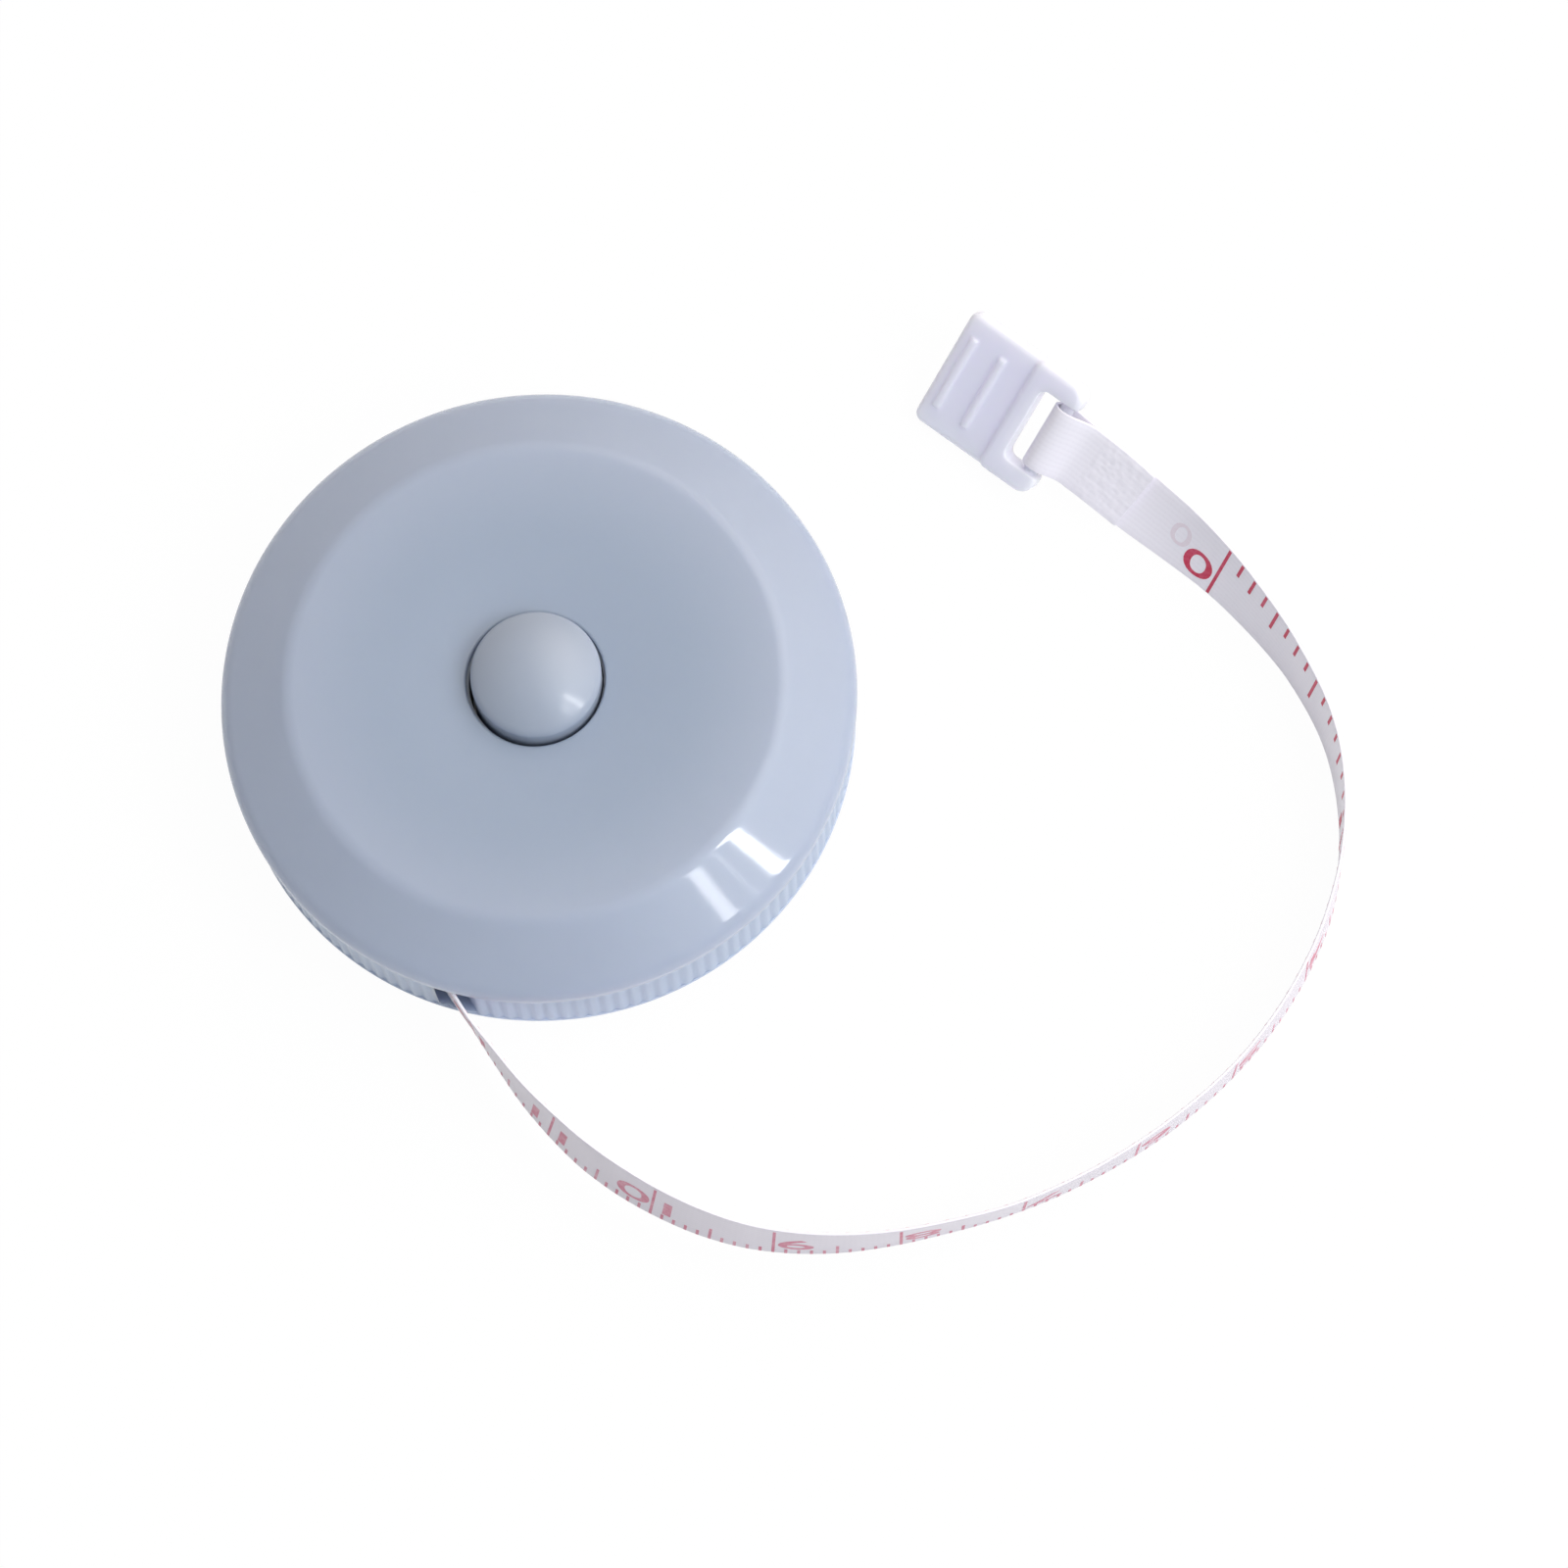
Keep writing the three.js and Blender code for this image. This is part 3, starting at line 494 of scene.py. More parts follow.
@dataclass(frozen=True)
class CoatedCloth:
    """Woven glass-fibre tape in a thin vinyl coat: milky, smooth, with the weave just showing through.

    The pattern follows the tape's own UV map, which is in millimetres along and across it. Where the
    end is welded back on itself, the welding die leaves a field of shallow dimples.
    """

    name: str
    colour: str
    aged_colour: str
    thread_colour: str
    roughness: float = 0.42
    roughness_swing: float = 0.06
    ior: float = 1.48
    sheen: float = 0.08
    weft_share: float = 0.7
    thread_mm: float = 0.45
    thread_rise_mm: float = 0.004
    thread_share: float = 0.09
    furrow_range: tuple[float, float] = (0.1, 0.6)
    age_mm: float = 7.0
    weld_from: float = 1e6
    weld_to: float = 1e6
    weld_fades: tuple[float, float] = (0.4, 0.3)
    dimple_mm: float = 0.6
    dimple_rise_mm: float = 0.06

    def material(self) -> Material:
        """Mixes the cloth, with its patterns on the tape's UV map.

        Returns:
            The material.
        """
        material, tree = new_finish(self.name)
        place = add_node(tree, "ShaderNodeTexCoord").outputs["UV"]
        age = add_node(tree, "ShaderNodeTexNoise", {
            "Vector": place, "Scale": 1.0 / self.age_mm, "Detail": 4.0, "Roughness": 0.6})
        tint = add_node(tree, "ShaderNodeMix", {
            SHARE: age.outputs["Fac"], FROM: linear(self.colour), TO: linear(self.aged_colour)},
            data_type="RGBA")
        # A wave's bands lie 2 pi / 20 apart at scale 1, so this brings them to the thread spacing
        pitch = math.tau / 20.0 / self.thread_mm
        warp, weft = (add_node(tree, "ShaderNodeTexWave", {
            "Vector": place, "Scale": pitch, "Distortion": 1.6, "Detail": 2.0}, bands_direction=axis)
            for axis in ("X", "Y"))
        weave = add_node(tree, "ShaderNodeMix", {
            0: self.weft_share, 2: warp.outputs["Fac"], 3: weft.outputs["Fac"]}, data_type="FLOAT")
        furrow = add_node(tree, "ShaderNodeMapRange", {
            "Value": weave.outputs[0], "From Min": self.furrow_range[0],
            "From Max": self.furrow_range[1], "To Min": self.thread_share, "To Max": 0.0})
        colour = add_node(tree, "ShaderNodeMix", {
            SHARE: furrow.outputs["Result"], FROM: tint.outputs[MIXED], TO: linear(self.thread_colour)},
            data_type="RGBA")
        cloth = add_node(tree, "ShaderNodeBump", {
            "Height": weave.outputs[0], "Distance": self.thread_rise_mm * MM})
        along = add_node(tree, "ShaderNodeSeparateXYZ", {"Vector": place})
        begun = add_node(tree, "ShaderNodeMapRange", {
            "Value": along.outputs["X"], "From Min": self.weld_from,
            "From Max": self.weld_from + self.weld_fades[0]})
        ended = add_node(tree, "ShaderNodeMapRange", {
            "Value": along.outputs["X"], "From Min": self.weld_to - self.weld_fades[1],
            "From Max": self.weld_to, "To Min": 1.0, "To Max": 0.0})
        welded = add_node(tree, "ShaderNodeMath", {
            0: begun.outputs["Result"], 1: ended.outputs["Result"]}, operation="MULTIPLY")
        dimples = add_node(tree, "ShaderNodeTexVoronoi", {
            "Vector": place, "Scale": 1.0 / self.dimple_mm, "Randomness": 0.9, "Smoothness": 0.6},
            feature="SMOOTH_F1")
        pressed = add_node(tree, "ShaderNodeMath", {
            0: dimples.outputs["Distance"], 1: welded.outputs["Value"]}, operation="MULTIPLY")
        relief = add_node(tree, "ShaderNodeBump", {
            "Height": pressed.outputs["Value"], "Distance": self.dimple_rise_mm * MM,
            "Normal": cloth.outputs["Normal"]})
        polish = add_node(tree, "ShaderNodeMapRange", {
            "Value": age.outputs["Fac"], "To Min": self.roughness - self.roughness_swing,
            "To Max": self.roughness + self.roughness_swing})
        shader = add_node(tree, "ShaderNodeBsdfPrincipled", {
            "Base Color": colour.outputs[MIXED], "Roughness": polish.outputs["Result"], "IOR": self.ior,
            "Normal": relief.outputs["Normal"], "Sheen Weight": self.sheen, "Sheen Roughness": 0.5})
        add_node(tree, "ShaderNodeOutputMaterial", {"Surface": shader.outputs["BSDF"]})
        return material


@dataclass(frozen=True)
class TapeInk:
    """Solvent ink rolled on the vinyl coat: thin, flat, and rubbed paler in specks."""

    name: str
    colour: str
    rubbed_colour: str
    speck_mm: float = 0.35
    patch_mm: float = 2.4
    rubbed_range: tuple[float, float] = (0.16, 0.46)
    roughness: tuple[float, float] = (0.42, 0.6)
    ior: float = 1.48

    def material(self) -> Material:
        """Mixes the ink, with its patterns on Object coordinates.

        Returns:
            The material.
        """
        material, tree = new_finish(self.name)
        place = add_node(tree, "ShaderNodeTexCoord").outputs["Object"]
        specks = add_node(tree, "ShaderNodeTexNoise", {
            "Vector": place, "Scale": per_metre(self.speck_mm), "Detail": 2.0, "Roughness": 0.6})
        patches = add_node(tree, "ShaderNodeTexNoise", {
            "Vector": place, "Scale": per_metre(self.patch_mm), "Detail": 1.0})
        rubbed = add_node(tree, "ShaderNodeMath", {
            0: specks.outputs["Fac"], 1: patches.outputs["Fac"]}, operation="MULTIPLY")
        share = add_node(tree, "ShaderNodeMapRange", {
            "Value": rubbed.outputs["Value"], "From Min": self.rubbed_range[0],
            "From Max": self.rubbed_range[1]})
        tint = add_node(tree, "ShaderNodeMix", {
            SHARE: share.outputs["Result"], FROM: linear(self.colour), TO: linear(self.rubbed_colour)},
            data_type="RGBA")
        polish = add_node(tree, "ShaderNodeMapRange", {
            "Value": specks.outputs["Fac"], "To Min": self.roughness[0], "To Max": self.roughness[1]})
        shader = add_node(tree, "ShaderNodeBsdfPrincipled", {
            "Base Color": tint.outputs[MIXED], "Roughness": polish.outputs["Result"], "IOR": self.ior})
        add_node(tree, "ShaderNodeOutputMaterial", {"Surface": shader.outputs["BSDF"]})
        return material


@dataclass(frozen=True)
class SpringSteel:
    """Drawn or rolled carbon spring steel: bright metal with fine lines of the die along the strip."""

    name: str
    colour: str
    stained_colour: str
    roughness: float
    stain_mm: float = 3.0
    line_mm: float = 0.15
    line_rise_mm: float = 0.002
    roughness_swing: tuple[float, float] = (-0.06, 0.08)

    def material(self) -> Material:
        """Mixes the steel, with its patterns on Object coordinates.

        Returns:
            The material.
        """
        material, tree = new_finish(self.name)
        place = add_node(tree, "ShaderNodeTexCoord").outputs["Object"]
        stains = add_node(tree, "ShaderNodeTexNoise", {
            "Vector": place, "Scale": per_metre(self.stain_mm), "Detail": 3.0})
        tint = add_node(tree, "ShaderNodeMix", {
            SHARE: stains.outputs["Fac"], FROM: linear(self.colour), TO: linear(self.stained_colour)},
            data_type="RGBA")
        # The lines run round the axis, so the pattern is drawn out in the plane and close along Z
        drawn = add_node(tree, "ShaderNodeMapping", {"Vector": place, "Scale": (0.02, 0.02, 1.0)})
        lines = add_node(tree, "ShaderNodeTexNoise", {
            "Vector": drawn.outputs["Vector"], "Scale": per_metre(self.line_mm), "Detail": 2.0})
        relief = add_node(tree, "ShaderNodeBump", {
            "Height": lines.outputs["Fac"], "Distance": self.line_rise_mm * MM})
        polish = add_node(tree, "ShaderNodeMapRange", {
            "Value": lines.outputs["Fac"], "To Min": self.roughness + self.roughness_swing[0],
            "To Max": self.roughness + self.roughness_swing[1]})
        shader = add_node(tree, "ShaderNodeBsdfPrincipled", {
            "Base Color": tint.outputs[MIXED], "Metallic": 1.0, "Roughness": polish.outputs["Result"],
            "Normal": relief.outputs["Normal"]})
        add_node(tree, "ShaderNodeOutputMaterial", {"Surface": shader.outputs["BSDF"]})
        return material


@dataclass(frozen=True)
class BrakeRubber:
    """Die-cut nitrile rubber: matt black with a fine pebble and a dusty bloom."""

    name: str
    colour: str
    bloom_colour: str
    bloom_mm: float = 2.0
    pebble_mm: float = 0.3
    pebble_rise_mm: float = 0.02
    roughness: tuple[float, float] = (0.72, 0.9)
    ior: float = 1.52

    def material(self) -> Material:
        """Mixes the rubber, with its patterns on Object coordinates.

        Returns:
            The material.
        """
        material, tree = new_finish(self.name)
        place = add_node(tree, "ShaderNodeTexCoord").outputs["Object"]
        bloom = add_node(tree, "ShaderNodeTexNoise", {
            "Vector": place, "Scale": per_metre(self.bloom_mm), "Detail": 4.0, "Roughness": 0.65})
        tint = add_node(tree, "ShaderNodeMix", {
            SHARE: bloom.outputs["Fac"], FROM: linear(self.colour), TO: linear(self.bloom_colour)},
            data_type="RGBA")
        pebble = add_node(tree, "ShaderNodeTexVoronoi", {
            "Vector": place, "Scale": per_metre(self.pebble_mm)})
        relief = add_node(tree, "ShaderNodeBump", {
            "Height": pebble.outputs["Distance"], "Distance": self.pebble_rise_mm * MM})
        polish = add_node(tree, "ShaderNodeMapRange", {
            "Value": bloom.outputs["Fac"], "To Min": self.roughness[0], "To Max": self.roughness[1]})
        shader = add_node(tree, "ShaderNodeBsdfPrincipled", {
            "Base Color": tint.outputs[MIXED], "Roughness": polish.outputs["Result"], "IOR": self.ior,
            "Normal": relief.outputs["Normal"]})
        add_node(tree, "ShaderNodeOutputMaterial", {"Surface": shader.outputs["BSDF"]})
        return material


@dataclass(frozen=True)
class Bevel:
    """A shell's outer bevel, from its lip to its flat face, with a soft edge at each."""

    radius: float
    foot: float
    width: float
    rise: float
    lip_height: float
    lip_straight: float = 0.05
    lip_round: float = 1.3
    face_round: float = 0.65

    def profile(self, steps: int = 10) -> Profile:
        """Points of the bevel from the lip's other edge to the flat face.

        Args:
            steps: pieces of each soft edge.

        Returns:
            Radius and height of each point.
        """
        lip = Vector((self.radius, self.foot))
        face = lip + Vector((-self.width, self.rise))
        inwards = (face - lip).normalized()
        side = math.copysign(1.0, self.rise)
        shoulder = soft_corner(lip - Vector((0.0, side * (self.lip_height - self.lip_straight))), lip,
                               lip + inwards * self.lip_round, steps)
        crown = soft_corner(face - inwards * self.face_round, face,
                            face - Vector((self.face_round, 0.0)), steps)
        corner = lip - Vector((self.lip_straight, side * self.lip_height))
        return [(corner.x, corner.y), *shoulder, *crown]


@dataclass(frozen=True)
class CaseStack:
    """Radii and heights that the two shells share, in millimetres."""

    floor: float = 1.3
    ceiling: float = 11.1
    lid_top: float = 12.4
    lip_bottom: float = 8.45
    lip_radius: float = 25.492
    mouth_heading: float = -61.5
    lead_radius: float = 18.792
    flange_radius: float = 19.292
    mouth_round: float = 0.15

    def lead_way(self) -> Vector:
        """Direction in which the tape leaves the case."""
        heading = math.radians(self.mouth_heading)
        return Vector((math.cos(heading), math.sin(heading), 0.0))

    def along_lead(self, radius: float) -> Vector:
        """Finds a place on the straight run to the mouth.

        Args:
            radius: how far it lies from the case's axis.

        Returns:
            The place, at height 0.
        """
        way = self.lead_way()
        start = Vector((way.y, -way.x, 0.0)) * self.lead_radius
        return start + way * math.sqrt(radius ** 2 - self.lead_radius ** 2)

    def lead_block(self, radii: tuple[float, float], width: float,
                   heights: tuple[float, float]) -> Piece:
        """A cutter along the run to the mouth.

        Args:
            radii: radii of the case at which it starts and ends.
            width: its width across the run.
            heights: its lowest and highest height.

        Returns:
            The cutter, with its corners rounded a little.
        """
        start, end = (self.along_lead(radius) for radius in radii)
        half = (end - start).length / 2
        cutter = block("mouth_cutter", (-half, -width / 2, heights[0]), (half, width / 2, heights[1]))
        with editing(cutter):
            pick(cutter, Element.EDGES, lambda edge: span(edge, Axis.X) > half)
            bpy.ops.mesh.bevel(offset=self.mouth_round, segments=3, affect="EDGES")
        cutter.rotation_euler = (0.0, 0.0, math.radians(self.mouth_heading))
        cutter.location = (start + end) / 2
        choose(cutter)
        bpy.ops.object.transform_apply()
        return cutter


@dataclass
class Lid:
    """Upper shell: flat face with the button's hole, wide bevel, lip, boss and locating spigot."""

    stack: CaseStack
    bevel: Bevel = Bevel(25.492, 9.35, 5.7, 3.05, 0.9)
    inner_face_radius: float = 19.466
    hole_radius: float = 5.55
    hole_round: float = 0.25
    hole_steps: int = 5
    ledge_radius: float = 5.36
    ledge_depth: float = 0.9
    boss_radius: float = 6.75
    boss_bottom: float = 9.4
    spigot_inner: float = 22.592
    spigot_outer: float = 23.392
    spigot_bottom: float = 7.25
    spigot_meets_bevel: float = 9.427
    notch_width: float = 2.8
    notch_overrun: float = 0.3
    steps: int = 360

    def build(self, finish: Material) -> Piece:
        """Models and dresses the lid.

        Args:
            finish: its plastic.

        Returns:
            The finished lid.
        """
        stack = self.stack
        profile: Profile = [
            (self.ledge_radius, self.boss_bottom),
            (self.boss_radius, self.boss_bottom),
            (self.boss_radius, stack.ceiling),
            (self.inner_face_radius, stack.ceiling),
            (self.spigot_inner, self.spigot_meets_bevel),
            (self.spigot_inner, self.spigot_bottom),
            (self.spigot_outer, self.spigot_bottom),
            (self.spigot_outer, stack.lip_bottom),
            *self.bevel.profile(),
            *soft_corner(Vector((self.hole_radius + self.hole_round, stack.lid_top)),
                         Vector((self.hole_radius, stack.lid_top)),
                         Vector((self.hole_radius, stack.lid_top - self.hole_round)), self.hole_steps),
            (self.hole_radius, stack.lid_top - self.ledge_depth),
            (self.ledge_radius, stack.lid_top - self.ledge_depth),
            (self.ledge_radius, self.boss_bottom),
        ]
        lid = turned("lid", profile, self.steps)
        notch = stack.lead_block((stack.flange_radius, stack.lip_radius), self.notch_width,
                                 (self.spigot_bottom - self.notch_overrun, stack.lip_bottom))
        combine(lid, notch, Join.CUT)
        settle(lid, finish)
        carry(lid, "case", "case_plastic", "top_shell")
        return lid


@dataclass
class Base:
    """Lower shell: bevel, lip, ribbed grip band with the tape's mouth, floor and hollow spindle."""

    stack: CaseStack
    bevel: Bevel = Bevel(25.292, 1.5, 2.8, -1.5, 0.3)
    inner_face_radius: float = 22.166
    band_bottom: float = 1.8
    band_top: float = 8.25
    rib_radii: tuple[float, ...] = (25.242, 25.22, 25.145, 25.09)
    wall_inner: float = 23.692
    wall_meets_bevel: float = 2.118
    spindle_radius: float = 3.4
    spindle_bore: float = 2.7
    spindle_top: float = 5.6
    mouth_width: float = 2.2
    mouth_overrun: float = 1.3
    mouth_heights: tuple[float, float] = (2.2, 8.45)
    rib_count: int = 140

    def columns_a_rib(self) -> int:
        """Columns of points in one rib, from groove to groove."""
        return 2 * (len(self.rib_radii) - 1)

    def rib_column(self, place: Vector) -> int:
        """Counts the columns from the middle of a rib's crest to a point.

        Args:
            place: the point on the band.

        Returns:
            How many columns it lies away, on either side.
        """
        columns = self.columns_a_rib()
        column = round(math.atan2(place.y, place.x) / math.tau * self.rib_count * columns) % columns
        return min(column, columns - column)

    def raise_ribs(self, base: Piece) -> None:
        """Moves the columns of the ribs out from the grooves' depth.

        Args:
            base: the base in edit mode, with its band still plain.
        """
        groove = self.rib_radii[-1]
        heights = (self.band_bottom, self.band_top)
        for step, radius in enumerate(self.rib_radii[:-1]):
            pick(base, Element.VERTS, lambda vert: (
                abs(vert.co.xy.length - groove) < NEAR
                and any(abs(vert.co.z - height) < NEAR for height in heights)
                and self.rib_column(vert.co) == step))
            scale_about_origin(radius / groove, radius / groove)

    def build(self, finish: Material) -> Piece:
        """Models and dresses the base.

        Args:
            finish: its plastic.

        Returns:
            The finished base.
        """
        stack = self.stack
        groove = self.rib_radii[-1]
        profile: Profile = [
            (0.0, 0.0),
            *reversed(self.bevel.profile()),
            (groove, self.band_bottom),
            (groove, self.band_top),
            (self.wall_inner, self.band_top),
            (self.wall_inner, self.wall_meets_bevel),
            (self.inner_face_radius, stack.floor),
            (self.spindle_radius, stack.floor),
            (self.spindle_radius, self.spindle_top),
            (self.spindle_bore, self.spindle_top),
            (self.spindle_bore, stack.floor),
            (0.0, stack.floor),
        ]
        base = turned("base", profile, self.rib_count * self.columns_a_rib())
        with editing(base):
            self.raise_ribs(base)
        radii = (stack.flange_radius, stack.lip_radius + self.mouth_overrun)
        mouth = stack.lead_block(radii, self.mouth_width, self.mouth_heights)
        combine(base, mouth, Join.CUT)
        settle(base, finish, smooth_below=62.0)
        carry(base, "case", "case_plastic", "bottom_shell")
        return base


@dataclass
class Button:
    """Domed brake button with its skirt, brake flange and guide stem."""

    radius: float = 5.2
    rim: float = 13.9
    dome: float = 1.75
    edge_radius: float = 0.5
    edge_rise: float = 0.33
    wall: float = 1.0
    underside: float = 14.65
    underside_rim: float = 13.23
    flange_radius: float = 7.6
    flange_bottom: float = 7.1
    flange_top: float = 7.8
    stem_radius: float = 1.5
    stem_bottom: float = 2.8
    stem_chamfer: float = 0.2
    lean: float = 0.12
    steps: int = 160
    edge_steps: int = 8
    dome_steps: int = 16

    def rest_in_play(self, button: Piece) -> None:
        """Leans the button to the right, as far as it leans in the play of its hole.

        Args:
            button: the button, still upright.
        """
        for point in button.data.vertices:
            rise = (point.co.z - self.flange_top) / (self.rim - self.flange_top)
            point.co.x += self.lean * min(max(rise, 0.0), 1.0)

    def build(self, finish: Material) -> Piece:
        """Models and dresses the button.

        Args:
            finish: its plastic.

        Returns:
            The finished button.
        """
        shoulder = Vector((self.radius - self.edge_radius, self.rim + self.edge_rise))
        apex = Vector((0.0, self.rim + self.dome))
        profile: Profile = [
            (0.0, self.stem_bottom),
            (self.stem_radius - self.stem_chamfer, self.stem_bottom),
            (self.stem_radius, self.stem_bottom + self.stem_chamfer),
            (self.stem_radius, self.underside),
            (self.radius - self.wall, self.underside_rim),
            (self.radius - self.wall, self.flange_bottom),
            (self.flange_radius, self.flange_bottom),
            (self.flange_radius, self.flange_top),
            (self.radius, self.flange_top),
            *soft_corner(Vector((self.radius, self.rim - self.edge_radius)),
                         Vector((self.radius, self.rim)), shoulder, self.edge_steps),
            *soft_corner(shoulder, Vector((self.radius / 2, apex.y)), apex, self.dome_steps)[1:],
        ]
        button = turned("button", profile, self.steps)
        self.rest_in_play(button)
        settle(button, finish, smooth_below=40.0)
        carry(button, "button", "button_plastic", "push_button")
        return button


@dataclass(frozen=True)
class TabPlace:
    """Where the pull tab's bar lies, in millimetres, and the three directions of the tab."""

    bar: Vector
    across: Vector
    along: Vector
    out: Vector

    @classmethod
    def from_joint(cls, name: str) -> "TabPlace":
        """Reads the tab's place from the joint that it swings on.

        Args:
            name: the joint's name.

        Returns:
            The place, with the tab's length level on the table.
        """
        joint = joint_row(name)
        across = Vector(joint["axis"]).normalized()
        along = UP.cross(across).normalized()
        return cls(Vector(joint["pos_m"]) / MM, across, along, across.cross(along))

    def matrix(self) -> Matrix:
        """Turns the tab's own frame, width on X and length on Y, into the object's frame."""
        turn = Matrix((self.across, self.along, self.out)).transposed().to_4x4()
        return Matrix.Translation(self.bar) @ turn

    def point(self, along: float, out: float) -> Vector:
        """A point in the middle of the tab's width."""
        return self.bar + self.along * along + self.out * out


@dataclass
class PullTab:
    """Moulded pull tab: slotted frame with a round bar for the tape, and a ribbed grip plate."""

    place: TabPlace
    length: float = 11.9
    free_width: float = 10.9
    bar_end_width: float = 10.7
    thickness: float = 2.0
    grip_drop: float = 0.35
    edge_round: float = 0.5
    free_corner: float = 1.0
    bar_corner: float = 1.6
    join_corner: float = 0.9
    corner_share: float = 0.8
    bar_radius: float = 0.6
    bar_steps: int = 32
    bar_inset: float = 1.0
    slot_length: float = 6.9
    slot_width: float = 1.9
    slot_corner: float = 0.7
    frame_web: float = 1.6
    rib_count: int = 2
    rib_length: float = 7.0
    rib_width: float = 0.7
    rib_height: float = 0.3
    rib_pitch: float = 2.9
    rib_inset: float = 1.4
    rib_round: float = 0.34
    grid: float = 0.09
    melt_steps: int = 10
    melt_share: float = 0.5

    def half_width(self, y: float) -> float:
        """Half the tab's width at a place along it."""
        share = (y + self.bar_inset) / self.length
        return (self.bar_end_width + (self.free_width - self.bar_end_width) * share) / 2

    def plate(self, name: str, reach: tuple[float, float], thickness: float,
              corners: tuple[float, float]) -> Piece:
        """A tapered plate with round corners and edges.

        Args:
            name: the piece's name.
            reach: where it starts and ends along the tab.
            thickness: its thickness, from the tab's underside.
            corners: radius of its corners at the start and at the end.

        Returns:
            The plate.
        """
        bottom = -self.thickness / 2
        near, far = (self.half_width(y) for y in reach)
        plate = block(name, (-near, reach[0], bottom), (near, reach[1], bottom + thickness))
        with editing(plate):
            pick(plate, Element.VERTS, lambda vert: vert.co.y > reach[1] - NEAR)
            scale_about_origin(far / near, 1.0)
            for y, corner in zip(reach, corners):
                pick(plate, Element.EDGES, lambda edge: all(
                    abs(vert.co.y - y) < NEAR for vert in edge.verts)
                    and span(edge, Axis.Z) > thickness / 2)
                bpy.ops.mesh.bevel(offset=corner * self.corner_share, segments=8, affect="EDGES")
            pick(plate, Element.EDGES, lambda edge: span(edge, Axis.Z) < NEAR)
            bpy.ops.mesh.bevel(offset=self.edge_round, segments=6, affect="EDGES")
            tidy_mesh()
        return plate

    def rib(self, y: float, bottom: float) -> Piece:
        """A low rounded rib across the grip plate.

        Args:
            y: the middle of the rib along the tab.
            bottom: the height at which it starts, inside the plate.

        Returns:
            The rib.
        """
        half_length, half_width = self.rib_length / 2, self.rib_width / 2
        rib = block("grip_rib", (-half_length, y - half_width, bottom),
                    (half_length, y + half_width, bottom + 2 * self.rib_height))
        with editing(rib):
            pick(rib, Element.FACES, lambda face: face.normal.z > UPWARD)
            bpy.ops.mesh.bevel(offset=self.rib_width * self.rib_round, segments=5, affect="EDGES")
            tidy_mesh()
        return rib

    def melt(self, tab: Piece) -> None:
        """Rounds every edge and crease of the tab a little, as moulding does."""
        modify(tab, "REMESH", mode="VOXEL", voxel_size=self.grid)
        modify(tab, "SMOOTH", factor=self.melt_share, iterations=self.melt_steps)

    def build(self, finish: Material) -> Piece:
        """Models the tab in its own frame, lays it in place and dresses it.

        Args:
            finish: its plastic.

        Returns:
            The finished tab.
        """
        bar_end = -self.bar_inset
        free_end = bar_end + self.length
        slot_end = self.bar_radius + self.slot_width
        grip_thickness = self.thickness - self.grip_drop
        tab = self.plate("pull_tab", (bar_end, slot_end + self.frame_web), self.thickness,
                         (self.bar_corner, self.join_corner))
        grip = self.plate("grip_plate", (slot_end, free_end), grip_thickness,
                          (self.join_corner, self.free_corner))
        combine(tab, grip, Join.ADD)
        grip_top = grip_thickness - self.thickness / 2
        for i in range(self.rib_count):
            rib = self.rib(free_end - self.rib_inset - i * self.rib_pitch, grip_top - self.rib_height)
            combine(tab, rib, Join.ADD)
        slot = block("slot_cutter", (-self.slot_length / 2, -self.length, -self.thickness),
                     (self.slot_length / 2, slot_end, self.thickness))
        with editing(slot):
            pick(slot, Element.EDGES, lambda edge: all(vert.co.y > 0 for vert in edge.verts)
                 and span(edge, Axis.Z) > NEAR)
            bpy.ops.mesh.bevel(offset=self.slot_corner, segments=8, affect="EDGES")
        combine(tab, slot, Join.CUT)
        deselect_all()
        bpy.ops.mesh.primitive_cylinder_add(vertices=self.bar_steps, radius=self.bar_radius,
                                            depth=self.slot_length + self.edge_round,
                                            rotation=(0.0, math.pi / 2, 0.0))
        bar = newest("tape_bar")
        bpy.ops.object.transform_apply()
        with editing(bar):
            bpy.ops.mesh.subdivide(number_cuts=1)
        combine(tab, bar, Join.ADD)
        self.melt(tab)
        tab.matrix_world = self.place.matrix()
        bpy.ops.object.transform_apply()
        settle(tab, finish, smooth_below=60.0)
        carry(tab, "tab", "tab_plastic", "end_tab")
        return tab


